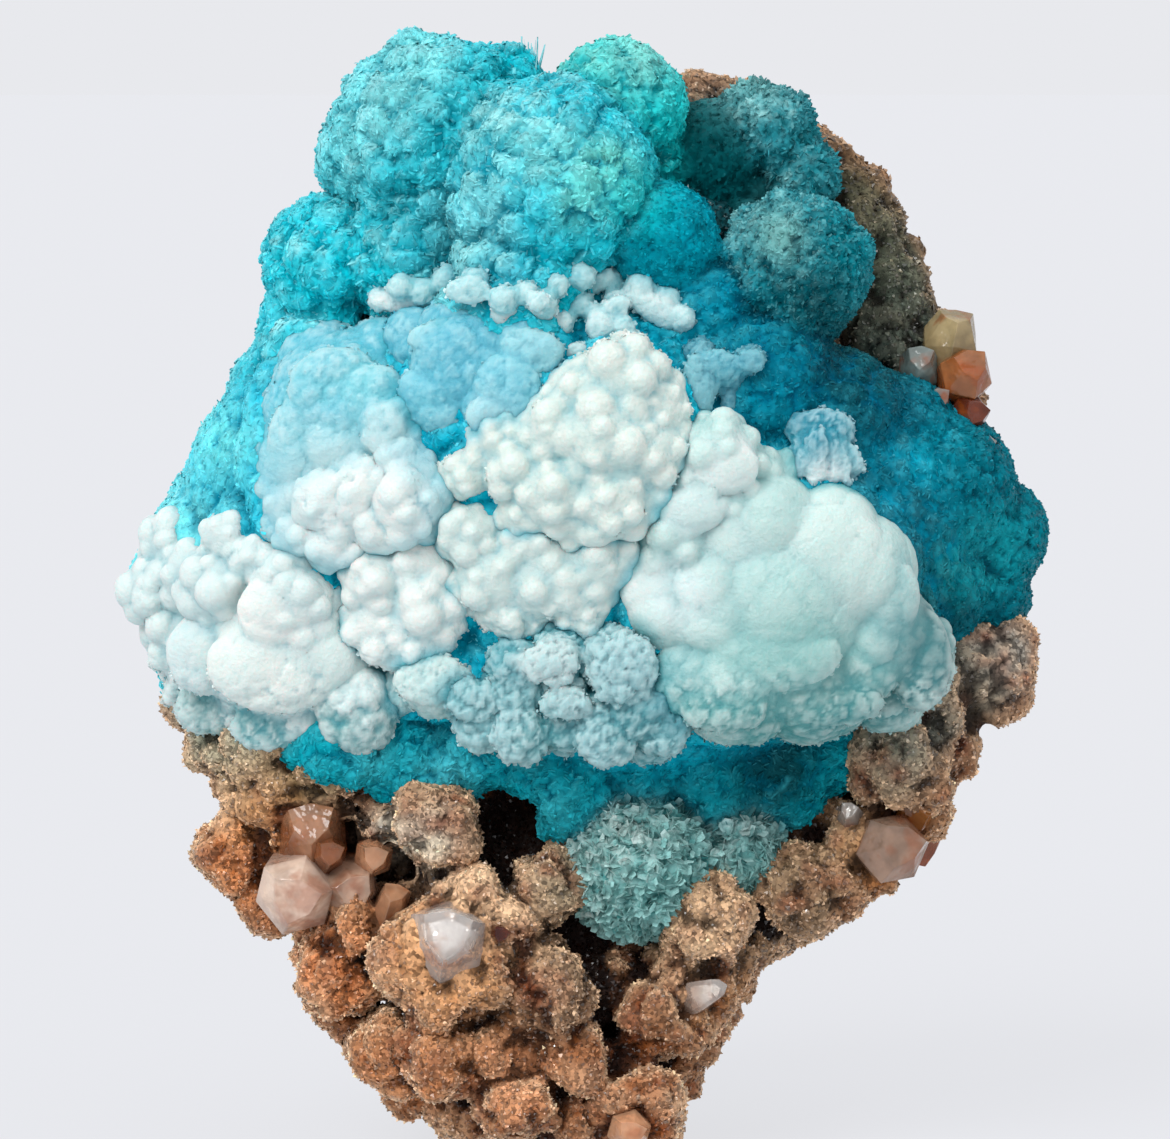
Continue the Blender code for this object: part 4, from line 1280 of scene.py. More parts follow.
# Materials


def add_node(tree, kind, inputs=None, **settings):
    """Adds a node with its settings. Its inputs are values, or outputs of other nodes to link."""
    made = tree.nodes.new(kind)
    for name, value in settings.items():
        setattr(made, name, value)
    for key, value in (inputs or {}).items():
        if isinstance(value, bpy.types.NodeSocket):
            tree.links.new(value, made.inputs[key])
        else:
            made.inputs[key].default_value = value
    return made


def new_material(name):
    """An empty material and its shader, which the caller fills in."""
    material = bpy.data.materials.new(name)
    material.use_nodes = True
    return material, material.node_tree, material.node_tree.nodes["Principled BSDF"]


def facets(tree, size):
    """A field of tilted crystal faces of the given size: their height in metres and their chance colour."""
    place = add_node(tree, "ShaderNodeTexCoord").outputs["Object"]
    grains = add_node(tree, "ShaderNodeTexVoronoi", {"Vector": place, "Scale": 1 / (size * MM)})
    offset = add_node(
        tree, "ShaderNodeVectorMath", {0: place, 1: grains.outputs["Position"]}, operation="SUBTRACT"
    )
    lean = add_node(
        tree, "ShaderNodeVectorMath", {0: grains.outputs["Color"], 1: (0.5, 0.5, 0.5)}, operation="SUBTRACT"
    )
    height = add_node(
        tree, "ShaderNodeVectorMath", {0: offset.outputs[0], 1: lean.outputs[0]}, operation="DOT_PRODUCT"
    )
    return height.outputs["Value"], grains.outputs["Color"]


def crystal_skin(name, size, tilt, rough, glint, scatter, reach, ior, gloss, sheen, uneven=0.15):
    """A skin of grown crystal faces. Tilt is how steep they are, glint the share of mirror-bright ones."""
    material, tree, shader = new_material(name)
    tint = add_node(tree, "ShaderNodeVertexColor", layer_name="tint").outputs["Color"]
    height, chance = facets(tree, size)
    bump = add_node(tree, "ShaderNodeBump", {"Strength": 1.0, "Distance": tilt, "Height": height})
    number = add_node(tree, "ShaderNodeSeparateColor", {0: chance})
    brighter = add_node(
        tree, "ShaderNodeMapRange",
        {"Value": number.outputs[0], "To Min": 1 - uneven, "To Max": 1 + uneven},
    )
    body = add_node(tree, "ShaderNodeVectorMath", {0: tint, 1: brighter.outputs[0]}, operation="MULTIPLY")
    roughness = add_node(
        tree, "ShaderNodeMapRange",
        {
            "Value": number.outputs[1], "From Min": glint, "From Max": glint + 0.1,
            "To Min": MIRROR_ROUGH, "To Max": rough,
        },
    )
    tree.links.new(body.outputs[0], shader.inputs["Base Color"])
    tree.links.new(roughness.outputs[0], shader.inputs["Roughness"])
    tree.links.new(bump.outputs[0], shader.inputs["Normal"])
    shader.inputs["IOR"].default_value = ior
    shader.inputs["Specular IOR Level"].default_value = gloss
    shader.inputs["Specular Tint"].default_value = paint(sheen)
    shader.inputs["Subsurface Weight"].default_value = scatter
    shader.inputs["Subsurface Radius"].default_value = (0.7, 1.0, 1.0)
    shader.inputs["Subsurface Scale"].default_value = reach * MM
    return material


def waxy_skin(name, grain, depth, rough, reach):
    """A smooth milky skin that light goes into, which makes its thin parts and creases glow blue."""
    material, tree, shader = new_material(name)
    tint = add_node(tree, "ShaderNodeVertexColor", layer_name="tint").outputs["Color"]
    place = add_node(tree, "ShaderNodeTexCoord").outputs["Object"]
    steps = add_node(tree, "ShaderNodeTexNoise", {"Vector": place, "Scale": 1 / (grain * MM), "Detail": 1.0})
    bump = add_node(
        tree, "ShaderNodeBump", {"Strength": 1.0, "Distance": depth * MM, "Height": steps.outputs[0]}
    )
    tree.links.new(tint, shader.inputs["Base Color"])
    tree.links.new(bump.outputs[0], shader.inputs["Normal"])
    shader.inputs["Roughness"].default_value = rough
    shader.inputs["IOR"].default_value = 1.62
    shader.inputs["Specular IOR Level"].default_value = 0.25
    shader.inputs["Subsurface Weight"].default_value = 0.8
    shader.inputs["Subsurface Radius"].default_value = (0.5, 1.0, 1.05)
    shader.inputs["Subsurface Scale"].default_value = reach * MM
    return material


def veil_material(name):
    """The milky inside of quartz: clouds of tiny bubbles."""
    material, tree, shader = new_material(name)
    tint = add_node(tree, "ShaderNodeVertexColor", layer_name="tint").outputs["Color"]
    place = add_node(tree, "ShaderNodeTexCoord").outputs["Object"]
    clouds = add_node(tree, "ShaderNodeTexNoise", {"Vector": place, "Scale": 1 / (2.5 * MM), "Detail": 3.0})
    lighter = add_node(
        tree, "ShaderNodeMapRange", {"Value": clouds.outputs[0], "From Min": 0.35, "From Max": 0.65,
                                     "To Min": 0.75, "To Max": 1.15}
    )
    body = add_node(tree, "ShaderNodeVectorMath", {0: tint, 1: lighter.outputs[0]}, operation="MULTIPLY")
    tree.links.new(body.outputs[0], shader.inputs["Base Color"])
    shader.inputs["Roughness"].default_value = 0.8
    shader.inputs["Specular IOR Level"].default_value = 0.1
    return material


def quartz_material(name, depth_colour, density, clearness, rough, rusty):
    """Grown quartz. Clearness is the share of light that goes in, rusty how much iron stain it has."""
    material, tree, shader = new_material(name)
    place = add_node(tree, "ShaderNodeTexCoord").outputs["Object"]
    steps = add_node(tree, "ShaderNodeTexNoise", {"Vector": place, "Scale": 1 / (2.0 * MM), "Detail": 2.0})
    bump = add_node(
        tree, "ShaderNodeBump", {"Strength": 0.8, "Distance": 0.42 * MM, "Height": steps.outputs[0]}
    )
    inside = add_node(
        tree, "ShaderNodeVolumeAbsorption", {"Color": paint(depth_colour), "Density": density}
    )
    tree.links.new(bump.outputs[0], shader.inputs["Normal"])
    tree.links.new(inside.outputs[0], tree.nodes["Material Output"].inputs["Volume"])
    tint = add_node(tree, "ShaderNodeVertexColor", layer_name="tint").outputs["Color"]
    clouds = add_node(tree, "ShaderNodeTexNoise", {"Vector": place, "Scale": 1 / (3.6 * MM), "Detail": 3.0})
    spots = add_node(tree, "ShaderNodeSeparateColor", {0: clouds.outputs[1]})
    milk = add_node(
        tree, "ShaderNodeMapRange",
        {"Value": spots.outputs[0], "From Min": 0.38, "From Max": 0.62, "To Min": 0.82, "To Max": 1.35},
    )
    body = add_node(tree, "ShaderNodeVectorMath", {0: tint, 1: milk.outputs[0]}, operation="MULTIPLY")
    rust = add_node(
        tree, "ShaderNodeMapRange",
        {"Value": spots.outputs[1], "From Min": 0.52, "From Max": 0.66, "To Min": 0.0, "To Max": rusty},
    )
    coloured = add_node(
        tree, "ShaderNodeMix",
        {0: rust.outputs[0], 6: body.outputs[0], 7: paint(IRON_STAIN)}, data_type="RGBA",
    )
    tree.links.new(coloured.outputs[2], shader.inputs["Base Color"])
    shader.inputs["Transmission Weight"].default_value = clearness
    shader.inputs["Roughness"].default_value = rough
    shader.inputs["IOR"].default_value = QUARTZ_IOR
    return material


# The pieces


def shares_of(points, growths):
    """How far each point belongs to each growth, blending softly where two meet."""
    depths = np.stack([depth_in(points, growth.lobes) for growth in growths], axis=1)
    weights = np.exp((depths - depths.max(axis=1, keepdims=True)) / MEETING)
    return weights / weights.sum(axis=1, keepdims=True)


def nearness(points, stain):
    """1 in the middle of a patch, fading to nothing outside it."""
    gap = (points[:, 0] - stain.x) ** 2 + (points[:, 2] - stain.z) ** 2
    return np.exp(-gap / stain.reach**2)


def stained(points, tints, stains, strength):
    """The colours with patches painted over them on the front: the thing's own tones, and painted highlights
    and shade.
    """
    total = np.zeros(len(points))
    sums = np.zeros((len(points), 3))
    for stain in stains:
        near = nearness(points, stain)
        sums += near[:, None] * np.array(linear(stain.tint))
        total += near
    share = np.clip(strength * total, 0, 1) * np.clip((12 - points[:, 1]) / 8, 0, 1)
    return blended(tints, sums / np.maximum(total, 1e-6)[:, None], share)


def relief(skin, wide):
    """Shares from 0 to 1 of how far each point is down in a crease, up on a tip, and down in a cleft."""
    near = skin.hollow(5)
    far = skin.hollow(wide)
    return (
        np.clip(near / 0.16, 0, 1),
        np.clip(-near / 0.16, 0, 1),
        np.clip(far / 1.1, 0, 1),
    )


def crust_skin(rock, big_pale):
    """The turquoise skin with its scales, then each point's share in each growth, its shade and height."""
    skin = fused((*crust_lobes(), *HOLLOW_BACK), CRUST_GRAIN)
    skin.keep(depth_in(skin.points, rock) < HIDDEN)
    skin.soften(CRUST_SMOOTHING)
    shares = shares_of(skin.points, CRUST_GROWTHS)
    rise = np.zeros(len(skin.points))
    shade = np.ones(len(skin.points))
    raised = np.zeros(len(skin.points))
    for number, growth in enumerate(CRUST_GROWTHS):
        near = shares[:, number] > 0.03
        spots = skin.points[near]
        broad, broad_chance = scales(spots, growth.scale, 20 + number, 1.0)
        fine, fine_chance = scales(spots, 0.45 * growth.scale, 50 + number, 1.0)
        rise[near] += shares[near, number] * growth.rise * (broad + 0.4 * fine)
        raised[near] += shares[near, number] * broad
        shade[near] += shares[near, number] * (0.24 * (broad_chance - 0.5) + 0.16 * (fine_chance - 0.5))
    between = np.clip(1 + depth_in(skin.points, big_pale) / 2.0, 0, 1)
    skin.push(rise + GROUND_FILL * between - GAP_DEPTH * nearness(skin.points, SHADED_GAP))
    return skin, shares, shade, raised


def crust_tints(skin, shares, shade, raised):
    """The colour of each point of the turquoise skin, with painted highlights on the sides that face the key
    light and painted shade in its creases and clefts, and its frost's.
    """
    crease, tip, cleft = relief(skin, 70)
    body, deep, frost = (
        shares @ np.array([linear(getattr(growth, part)) for growth in CRUST_GROWTHS])
        for part in ("body", "deep", "frost")
    )
    blotch = soft_noise(skin.points, 5.0, 3)
    fleck = np.clip(4 * (soft_noise(skin.points, 1.5, 9) - 0.66), 0, 1)
    tints = stained(skin.points, body, CRUST_PATCHES_AND_PAINTED_LIGHT, 1.1)
    # Painted highlight: frost on the raised scale edges and on the sides that face the key light
    facing = np.clip(skin.normals() @ unit(np.array(KEY_HIGHLIGHT_FROM)), 0, 1)
    edges = np.clip(raised - 0.45, 0, 1) * (0.3 + blotch) * (0.15 + 1.5 * facing)
    tints = blended(tints, frost, 0.05 * tip + 0.8 * edges + PAINTED_HIGHLIGHT_SHARE * facing**3 * (blotch + fleck))
    # Painted shade: creases, the low ground between scales and the clefts take the deep colour; the blotches
    # add real deeper patches
    low = 0.5 * np.clip(0.25 - raised, 0, 1)
    tints = blended(tints, deep, 0.5 * crease + low + 0.5 * np.clip(0.45 - blotch, 0, 1))
    tints = blended(tints, CRACK_SHADE * deep, 0.75 * cleft)
    return np.clip(tints * shade[:, None], 0, 1), frost


def build_crust(rock, pale_lobes, big_pale, materials):
    skin, shares, shade, raised = crust_skin(rock, big_pale)
    tints, frost = crust_tints(skin, shares, shade, raised)
    whole = piece_of("crust", skin.points, skin.faces, tints, materials["crust"])
    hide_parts("turquoise_crust")

    normals = skin.normals()
    open_air = (depth_in(skin.points, pale_lobes) < 0.2) & (depth_in(skin.points, rock) < 0.3)
    owner = shares.argmax(axis=1)
    chance = np.random.default_rng(5)
    sets = []
    for number, growth in enumerate(CRUST_GROWTHS):
        chosen = spread_out(skin.points, open_air & (owner == number), growth.spacing, number)
        foot = tints[chosen]
        # Painted highlight: blade tops are paler on the sides that face the key light
        facing = np.clip(normals[chosen] @ unit(np.array(KEY_HIGHLIGHT_FROM)), 0, 1)
        share = (0.15 + 0.6 * facing) * chance.uniform(size=len(chosen))
        sets.append(blades(
            skin.points[chosen], normals[chosen], varied(growth.blade, len(chosen), number, 0.5),
            BLADE_EDGE, growth.lean,
            foot, blended(foot, frost[chosen], share), number,
        ))
    up = np.tile((0.0, -0.1, 1.0), (SPRAY_NEEDLES, 1))
    roots = np.array(SPRAY_ROOT) + chance.uniform(-1.4, 1.4, (SPRAY_NEEDLES, 3)) * (1, 1, 0.4)
    pale = np.tile(linear("#9ADDE2"), (SPRAY_NEEDLES, 1))
    sets.append(blades(roots, up, varied(SPRAY_SIZE, SPRAY_NEEDLES, 3), 0.6, 0.12, pale, pale, 8))
    all_blades = together(sets)
    piece_of(
        "crust_blades", all_blades.points, all_blades.faces, all_blades.tints, materials["blades"],
        smooth=False,
    )


def shrunk(balls, share):
    return [(x, y, z, radius * share) for x, y, z, radius in balls]


def ribs(points, shells):
    """Height from -1 to 1 of ribs that fan out down each shell."""
    height = np.zeros(len(points))
    nearest = np.full(len(points), np.inf)
    for shell in shells:
        across = points[:, 0] - shell.x
        down = shell.z - points[:, 2]
        gap = np.hypot(across / shell.wide, down / shell.high)
        closer = gap < nearest
        nearest[closer] = gap[closer]
        angle = np.arctan2(across, down + 1.2 * shell.high) - math.radians(shell.turn)
        height[closer] = np.cos(RIBS * angle)[closer]
    return height * (1.6 * soft_noise(points, 2.0, 21) - 0.3)


def pale_skin(mass, number, lobes, ground):
    """The skin of a pale mass, with low lumps and scales on it."""
    skin = fused(lobes, PALE_GRAIN)
    skin.keep(depth_in(skin.points, ground) < HIDDEN)
    skin.soften(PALE_SMOOTHING)
    points = skin.points
    lumps, _ = scales(points, mass.lump, 60 + number, 0.25)
    small, _ = scales(points, 0.45 * mass.lump, 80 + number, 0.1)
    broad, _ = scales(points, mass.scale, number, 1.0)
    fine, _ = scales(points, 0.6 * mass.scale, 40 + number)
    low, high = mass.scaly
    scaly = np.clip((points[:, 2] - low) / 4, 0, 1) * np.clip((high - points[:, 2]) / 4, 0, 1)
    skin.push(
        mass.lump_rise * (lumps + 0.3 * small)
        + mass.scale_rise * scaly * (broad + 0.5 * fine - 0.5) + 0.06 * fine
        + (RIB_RISE * ribs(points, SHELLS[mass.name]) if mass.name in RIBBED else 0.0)
    )
    return skin


def pale_tints(mass, number, skin, flakes, ground, others):
    """The colour of each point of a pale mass: white where it stands out, and blue painted shade in its
    creases, underneath, round its seat and where it meets the rest.
    """
    body, deep, frost = (np.array(linear(code)) for code in (mass.body, mass.deep, mass.frost))
    tints = np.tile(body, (len(skin.points), 1))
    if flakes:
        shells = SHELLS[mass.name]
        depths = np.stack([depth_in(skin.points, [flake]) for flake in flakes], axis=1)
        weights = np.exp(np.clip((depths - depths.max(axis=1, keepdims=True)) / 0.35, -30, 0))
        painted = weights @ np.array([linear(shell.tint) for shell in shells])
        painted /= weights.sum(axis=1, keepdims=True)
        tints = blended(tints, painted, 1 + depths.max(axis=1) / 0.9)
    tints = stained(skin.points, tints, PALE_TONES_AND_SHADE.get(mass.name, ()), 1.2)
    crease, tip, cleft = relief(skin, 40)
    blotch = soft_noise(skin.points, 4.0, number)
    seat = np.clip(1 + depth_in(skin.points, ground) / 2.0, 0, 1)
    meeting = np.clip(1 + depth_in(skin.points, others) / 1.2, 0, 1)
    # Painted shade: the deep colour goes into the creases, clefts, hollow flanks, the undersides, the seat on
    # the ground and the meetings with other masses
    under = np.clip(-skin.normals()[:, 2] - 0.1, 0, 1)
    tints = blended(tints, frost, 0.4 * tip + 0.4 * np.clip(blotch - 0.5, 0, 1))
    flank = np.clip(skin.hollow(25) / 0.9 + 0.15, 0, 1)
    share = np.maximum.reduce(
        (0.45 * crease, 0.8 * cleft, 0.7 * seat, 0.9 * meeting, 0.25 * under, 0.6 * flank)
    )
    return blended(tints, deep, share) * PALE_TONE


def edge_crystals(mass, number, skin, tints, hidden):
    """Small crystals on the scaly sides of a pale mass, where it is seen edge on."""
    low, high = mass.scaly
    facing = -skin.normals()[:, 1] < 0.25 * (soft_noise(skin.points, 1.5, number) - 0.5)
    scaly = (skin.points[:, 2] > low) & (skin.points[:, 2] < high)
    chosen = spread_out(skin.points, facing & scaly & (depth_in(skin.points, hidden) < 0.1), 0.8, number)
    foot = tints[chosen]
    share = np.random.default_rng(number).uniform(size=len(chosen))
    return blades(
        skin.points[chosen], skin.normals()[chosen], varied(PALE_EDGE, len(chosen), number), 0.6, 0.5,
        foot, blended(foot, linear(mass.frost), 0.4 * share), number,
    )


def build_pale(ground, materials):
    """The pale masses and the crystals on their edges. Returns all their lobes, and the big ones' alone."""
    placed = []
    for mass in PALE_MASSES:
        balls = shrunk(seated(mass.lobes, ground), mass.core)
        placed.append((balls, laid(SHELLS.get(mass.name, ()), [*ground, *balls])))
    sets = []
    for number, (mass, (balls, flakes)) in enumerate(zip(PALE_MASSES, placed)):
        others = [lobe for at, both in enumerate(placed) if at != number for part in both for lobe in part]
        knobs = knobbly(balls, mass.knob, 0.35, number, mass.most)
        skin = pale_skin(mass, number, [*knobs, *flakes], ground)
        tints = pale_tints(mass, number, skin, flakes, ground, others)
        piece = piece_of(
            mass.name + "_growth", skin.points, skin.faces, tints, materials["pale"]
        )
        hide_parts(mass.name)
        sets.append(edge_crystals(mass, number, skin, tints, [*others, *ground]))
    fringe = together(sets)
    piece_of(
        "pale_fringe", fringe.points, fringe.faces, fringe.tints, materials["blades"],
        smooth=False,
    )
    big = [
        lobe for mass, both in zip(PALE_MASSES, placed) if mass.name not in FLAT_PALE
        for part in both for lobe in part
    ]
    return [lobe for both in placed for part in both for lobe in part], big


def socket_depth(points):
    """How far the rock stands back round each quartz crystal."""
    depth = np.zeros(len(points))
    for _, root, way, width, *_ in QUARTZ:
        along = np.array(way) / np.linalg.norm(way)
        out = points - np.array(root)
        ahead = out @ along
        beside = np.linalg.norm(out - ahead[:, None] * along, axis=1)
        depth = np.maximum(depth, np.clip((0.5 * width + 2.0 - beside) / 2.0, 0, 1) * (ahead > -1.0))
    return depth


def behind(points, cell, reach):
    """How far each point lies behind what stands out round it, as seen from the front."""
    places = np.floor(points[:, (0, 2)] / cell).astype(int)
    places -= places.min(axis=0) - reach
    front = np.full(places.max(axis=0) + reach + 1, np.inf)
    np.minimum.at(front, tuple(places.T), points[:, 1])
    for axis in (0, 1):
        front = np.min([np.roll(front, step, axis) for step in range(-reach, reach + 1)], axis=0)
    return points[:, 1] - front[tuple(places.T)]


def rock_skin(cover):
    lobes = (
        *ROCK_CORES, *knobbly(ROCK_KNOBS, 0.42, 0.6, 77), *knobbly(ROCK_RIM, 0.36, 0.75, 78),
        *BACK_LEDGES, *back_knobs(),
    )
    skin = fused(lobes, ROCK_GRAIN, BACK_BLOCKS)
    skin.keep((depth_in(skin.points, cover) < HIDDEN) & (skin.points[:, 2] > -2.0))
    points = skin.points
    broad, _ = scales(points, 2.2, 1)
    fine, _ = scales(points, 1.1, 2)
    skin.push(
        2.6 * (soft_noise(points, 7.0, 4) - 0.5) + 1.9 * (soft_noise(points, 3.0, 5) - 0.5)
        + 0.40 * broad + 0.20 * fine - 1.2 * socket_depth(points) - GAP_DEPTH * nearness(points, SHADED_GAP)
    )
    skin.points[:, 2] = np.maximum(skin.points[:, 2], 0.0)
    return skin


def rock_tints(skin):
    """The colour of each point of the rock, with painted shade in its crevices, gullies and hollow, and how
    far each point is clear of that shade and of the dull rim.
    """
    points = skin.points
    normals = skin.normals()
    crease, tip, cleft = relief(skin, 40)
    back = np.clip((points[:, 1] - 4) / 8, 0, 1)
    front = np.tile(linear(ROCK_BODY), (len(points), 1))
    tints = blended(stained(points, front, ROCK_STAINS, 1.3), linear(ROCK_BACK), 0.8 * back)
    rust = soft_noise(points, 2.6, 8)
    dull = np.clip(2 * nearness(points, DULL_RIM), 0, 1) * (1 - back)
    tints = blended(tints, linear(ROCK_RUST), 0.8 * np.clip(3 * (rust - 0.5), 0, 1) * (1 - back) * (1 - dull))
    # Painted shade in the hollow by the top balls
    hollow = np.clip(2 * nearness(points, SHADED_HOLLOW), 0, 1) * (1 - back)
    tints = blended(tints, linear(SHADED_HOLLOW.tint), hollow)
    # Painted shade: creases, clefts and gullies that lie back behind the knobs, as seen from the front, go
    # towards the crevice shade colour
    sunk = skin.hollow(150)
    back_by = behind(points, 1.2, 2)
    gully = np.clip((back_by - 2.2) / 3.0, 0, 1) * np.clip(sunk / 0.6 + 0.3, 0, 1)
    gully *= (1 - np.clip(2 * socket_depth(points), 0, 1)) * (1 - back)
    dark = np.maximum.reduce((0.8 * crease, 0.9 * cleft, gully))
    # Painted shade in the gap under the crust
    dark = np.maximum(dark, np.clip(1.6 * nearness(points, SHADED_GAP), 0, 1) * (1 - back))
    # The pale sugar is thickest along the outlines seen from the front; this also stands for a painted sheen
    # of crystals seen edge on
    edges = np.clip(1.0 + normals[:, 1], 0, 1) ** 2
    patch = np.clip(3 * (soft_noise(points, 4.0, 12) - 0.5), 0, 1)
    sugar = np.clip(0.16 * tip + 1.1 * edges + 0.25 * patch, 0, 1)
    sugar = sugar * (1 - 0.8 * back) * (1 - dark) * (1 - hollow)
    sugar *= 1 - 0.8 * dull
    tints = blended(tints, linear(ROCK_FROST), sugar)
    return blended(tints, linear(ROCK_CREVICE_SHADE), dark), (1 - dark) * (1 - hollow) * (1 - 0.7 * dull)


def build_rock(cover, materials):
    skin = rock_skin(cover)
    tints, clean = rock_tints(skin)
    piece = piece_of("rock", skin.points, skin.faces, tints, materials["rock"])
    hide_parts("matrix")

    normals = skin.normals()
    above = skin.points[:, 2] > 0.6
    open_air = (depth_in(skin.points, cover) < 0.2) & above & (socket_depth(skin.points) < 0.9)
    facing = skin.points[:, 1] < 3
    chance = np.random.default_rng(6)
    sets = []
    for wanted, spacing, size, seed in (
        (open_air & facing, 0.73, (0.24, 0.46, 0.38), 3),
        (open_air & ~facing, 1.20, (0.26, 0.62, 0.50), 4),
    ):
        chosen = spread_out(skin.points, wanted, spacing, seed)
        foot = tints[chosen]
        # Grain tops are paler towards the outlines seen from the front, partly a painted sheen, and stay dark
        # in the painted shade
        edges = np.clip(1.0 + normals[chosen, 1], 0.0, 1.0)
        share = (0.35 + 1.3 * edges) * chance.uniform(size=len(chosen)) ** 3 * clean[chosen]
        sets.append(blades(
            skin.points[chosen], normals[chosen], varied(size, len(chosen), seed, 0.6), 0.15, 0.45,
            blended(foot, linear(ROCK_FROST), 0.5 * share), blended(foot, linear(ROCK_FROST), share),
            seed, 0.6,
        ))
    grains = together(sets)
    piece_of(
        "rock_sugar", grains.points, grains.faces, grains.tints, materials["sugar"],
        smooth=False,
    )


def quartz_crystal(root, way, width, length, point_share, turn):
    """A six-sided crystal with an uneven point and worn edges, and each point's share of its length."""
    place = (
        Matrix.Translation(root)
        @ Vector(way).to_track_quat("Z", "Y").to_matrix().to_4x4()
        @ Matrix.Rotation(math.radians(turn), 4, "Z")
    )
    radius = width / 2
    bm = bmesh.new()
    rings = []
    for height, across, drop in (
        (0.0, radius * ROOT_WIDTH, 0.0),
        (length * FULL_BY, radius, 0.0),
        (length * (1 - point_share), radius, length * SHOULDER_DROP),
    ):
        ring = []
        for side in range(6):
            angle = math.tau * side / 6
            spot = Vector((across * math.cos(angle), across * math.sin(angle), height - drop * (side % 2)))
            ring.append(bm.verts.new(place @ spot))
        rings.append(ring)
    aside, back = (radius * share for share in TIP_OFFSET)
    end = []
    for side in range(6):
        angle = math.tau * side / 6
        reach = radius * END_FACE * (1.15 - 0.3 * (side % 2))
        height = length * (1 - END_BACK * point_share)
        spot = Vector((aside + reach * math.cos(angle), back + reach * math.sin(angle), height))
        end.append(bm.verts.new(place @ spot))
    rings.append(end)
    for lower, upper in itertools.pairwise(rings):
        for side in range(6):
            after = (side + 1) % 6
            bm.faces.new((lower[side], lower[after], upper[after], upper[side]))
    bm.faces.new(end)
    bm.faces.new(reversed(rings[0]))
    bmesh.ops.bevel(
        bm, geom=bm.edges, offset=0.06, segments=1, profile=0.6, affect="EDGES", clamp_overlap=True
    )
    bmesh.ops.triangulate(bm, faces=bm.faces)
    bm.verts.index_update()
    points = np.array([tuple(point.co) for point in bm.verts])
    faces = np.array([[point.index for point in face.verts] for face in bm.faces])
    bm.free()
    along = np.array(Vector(way).normalized())
    return points, faces, (points - np.array(root)) @ along / length


def quartz_piece(name, part, crystals, material):
    """One piece from crystals, each with its colours at the root and the tip."""
    points, faces, tints = [], [], []
    for *shape, root_tint, tip_tint in crystals:
        own_points, own_faces, along = quartz_crystal(*shape)
        faces.append(own_faces + sum(map(len, points)))
        points.append(own_points)
        root = np.tile(linear(root_tint), (len(own_points), 1))
        tints.append(blended(root, linear(tip_tint), (along - 0.3) / 0.4))
    piece = piece_of(
        name + part, np.concatenate(points), np.concatenate(faces), np.concatenate(tints), material,
        smooth=False,
    )
    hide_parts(name)


def build_quartz(materials):
    for name in dict.fromkeys(crystal[0] for crystal in QUARTZ):
        kind = QUARTZ_KINDS[name]
        if name in CLUSTERS:
            crystals = CLUSTERS[name]
        else:
            crystals = [(*row[1:], *QUARTZ_TINTS[kind]) for row in QUARTZ if row[0] == name]
        quartz_piece(name, "_crystal", crystals, materials[kind])
        inner = [
            (root, way, width * VEIL_WIDTH, length * VEIL_LENGTH, *rest)
            for root, way, width, length, *rest in crystals
        ]
        quartz_piece(name, "_veils", inner, materials["veils"])


def crust_lobes():
    return (
        *lumpy(TOP_BALLS), *shrunk(TOP_BALLS, BALL_FULLNESS), *LEFT_FLANK, *BLUE_GROUND, *BLUE_HUMPS,
        *lumpy(SUGAR_BALLS), *RIGHT_WING, *LOWER_LOBES,
    )


def build_specimen():
    materials = {
        "crust": crystal_skin(
            "turquoise hemimorphite, grown crust", 0.60, 0.9, 0.50, 0.08, 0.6, 0.9, 1.62, 0.06, "#6CE0F0",
        ),
        "blades": crystal_skin(
            "hemimorphite, grown blades", 0.40, 0.4, 0.40, 0.14, 0.0, 0.6, 1.62, 0.10, "#84E6F2",
        ),
        "pale": waxy_skin("pale hemimorphite, grown knobs", 0.45, 0.16, 0.50, 1.0),
        "rock": crystal_skin(
            "ironstone under drusy quartz", 0.45, 1.2, 0.70, 0.08, 0.0, 0.5, 1.54, 0.15, "#FFFFFF", 0.5,
        ),
        "sugar": crystal_skin(
            "drusy quartz, sugar grains", 0.30, 0.4, 0.30, 0.30, 0.0, 0.4, 1.54, 0.70, "#FFFFFF", 0.4,
        ),
        "smoky": quartz_material("smoky quartz, grown", "#E8C8A8", 40, 0.55, 0.05, 0.50),
        "clear": quartz_material("rock crystal quartz, grown", "#F6E8DE", 15, 0.70, 0.03, 0.35),
        "stained": quartz_material("iron-stained quartz, grown", "#E0B080", 60, 0.45, 0.12, 0.80),
        "veils": veil_material("milky quartz, bubble veils"),
    }
    ground = (*ROCK_CORES, *crust_lobes())
    rock = (*ROCK_CORES, *ROCK_KNOBS, *ROCK_RIM)
    pale_lobes, big_pale = build_pale(ground, materials)
    build_crust(rock, pale_lobes, big_pale, materials)
    cover = [lobe for growth in CRUST_GROWTHS for lobe in growth.lobes] + pale_lobes
    build_rock(cover, materials)
    build_quartz(materials)


def build_floor():
    """The plain pale floor, which glows a little so that it meets the air without an edge."""
    far = FLOOR_REACH / MM
    corners = np.array(((-far, -far, 0), (far, -far, 0), (far, far, 0), (-far, far, 0)))
    mesh = mesh_of("floor", corners, np.array(((0, 1, 2), (0, 2, 3))))
    material, _, shader = new_material("light table, matt acrylic")
    shader.inputs["Base Color"].default_value = paint(FLOOR_PALE)
    shader.inputs["Roughness"].default_value = 0.9
    shader.inputs["Specular IOR Level"].default_value = 0.0
    shader.inputs["Emission Color"].default_value = paint(STUDIO_AIR)
    shader.inputs["Emission Strength"].default_value = FLOOR_GLOW
    mesh.materials.append(material)
    in_scene("floor", mesh)


def add_sun(name, come_from, strength, width):
    light = bpy.data.lights.new(name, "SUN")
    light.energy = strength
    light.angle = math.radians(width)
    in_scene(name, light).rotation_euler = Vector(come_from).to_track_quat("Z", "Y").to_euler()


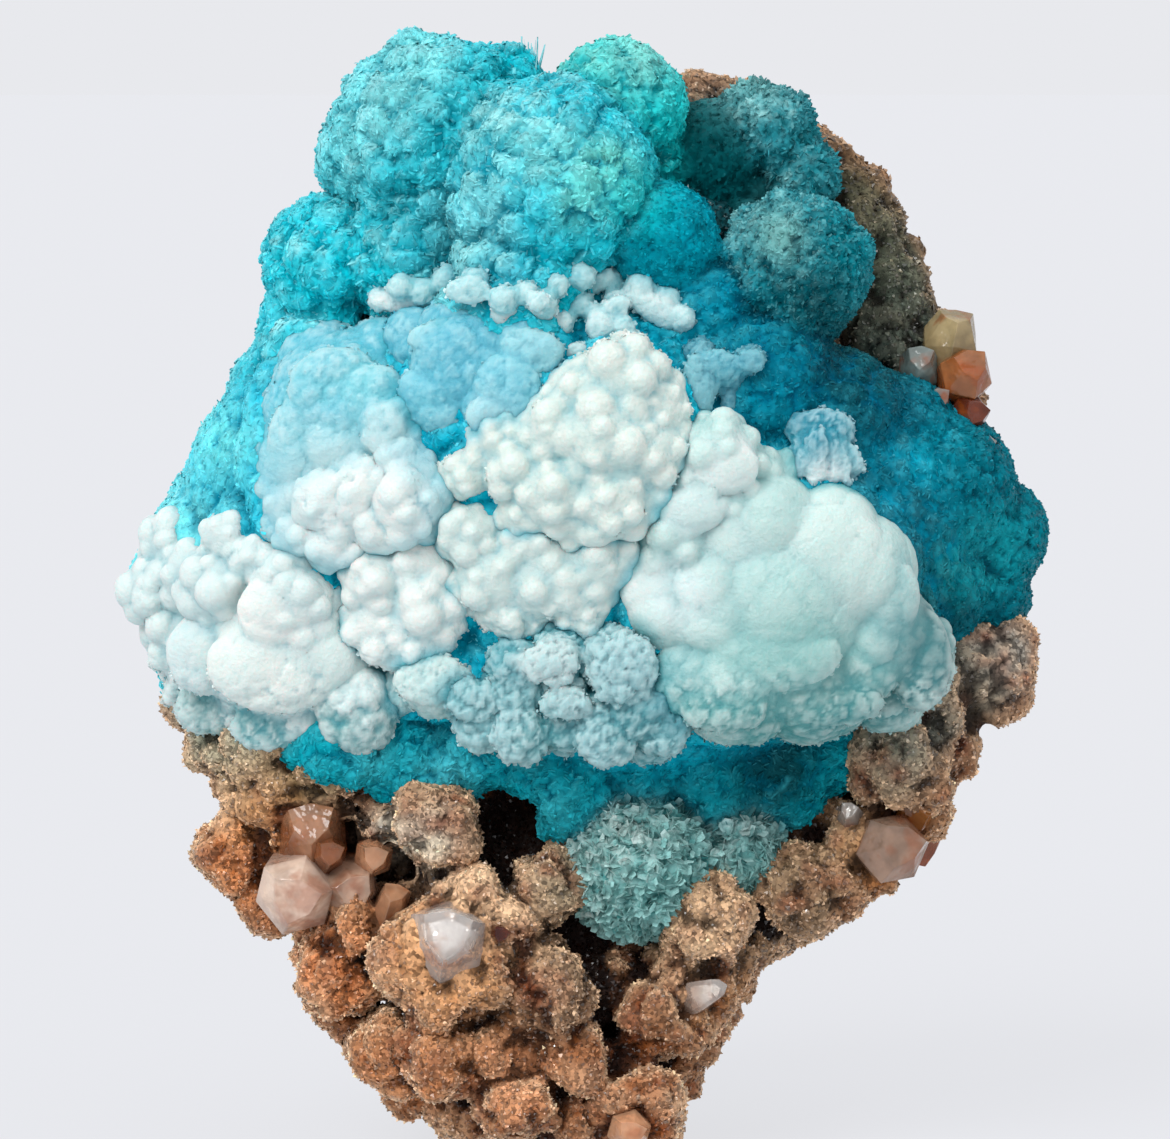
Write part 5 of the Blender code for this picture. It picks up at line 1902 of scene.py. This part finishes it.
def build_air():
    """Pale air all round, which shows brighter behind and through the crystals than it lights them."""
    world = bpy.data.worlds.new("studio air")
    world.use_nodes = True
    tree = world.node_tree
    walls = tree.nodes["Background"]
    walls.inputs["Color"].default_value = paint(STUDIO_AIR)
    walls.inputs["Strength"].default_value = 1.0
    dim = add_node(tree, "ShaderNodeBackground", {"Color": paint(STUDIO_AIR), "Strength": AIR_LIGHT})
    path = add_node(tree, "ShaderNodeLightPath")
    straight = add_node(
        tree, "ShaderNodeMath",
        {0: path.outputs["Is Camera Ray"], 1: path.outputs["Is Transmission Ray"]}, operation="MAXIMUM",
    )
    mix = add_node(
        tree, "ShaderNodeMixShader", {0: straight.outputs[0], 1: dim.outputs[0], 2: walls.outputs[0]}
    )
    tree.links.new(mix.outputs[0], tree.nodes["World Output"].inputs["Surface"])
    world.cycles.sampling_method = "NONE"
    bpy.context.scene.world = world


def build_lights():
    """The soft lights, and how many times light is followed from face to face."""
    add_sun("key softbox", KEY_FROM, KEY_LIGHT, KEY_WIDTH)
    add_sun("overhead softbox", OVERHEAD_FROM, OVERHEAD_LIGHT, OVERHEAD_WIDTH)
    add_sun("spot that makes glints", GLINT_FROM, GLINT_LIGHT, GLINT_WIDTH)
    bpy.context.scene.view_settings.view_transform = "Standard"
    bpy.context.scene.cycles.use_light_tree = False
    bpy.context.scene.cycles.diffuse_bounces = 2
    bpy.context.scene.cycles.glossy_bounces = 2
    bpy.context.scene.cycles.transmission_bounces = 6
    bpy.context.scene.cycles.max_bounces = 8


def build_camera():
    """The camera where the photograph was taken from."""
    lens = bpy.data.cameras.new("camera")
    lens.lens = LENS
    lens.sensor_width = SENSOR
    lens.clip_start, lens.clip_end = CLIP
    camera = in_scene("camera", lens)
    rise = math.radians(CAMERA_RISE)
    back = Vector((0, -math.cos(rise), math.sin(rise)))
    camera.location = (Vector(CAMERA_AIM) + CAMERA_AWAY * back) * MM
    camera.rotation_euler = back.to_track_quat("Z", "Y").to_euler()
    bpy.context.scene.camera = camera


build_specimen()
build_floor()
build_air()
build_lights()
build_camera()
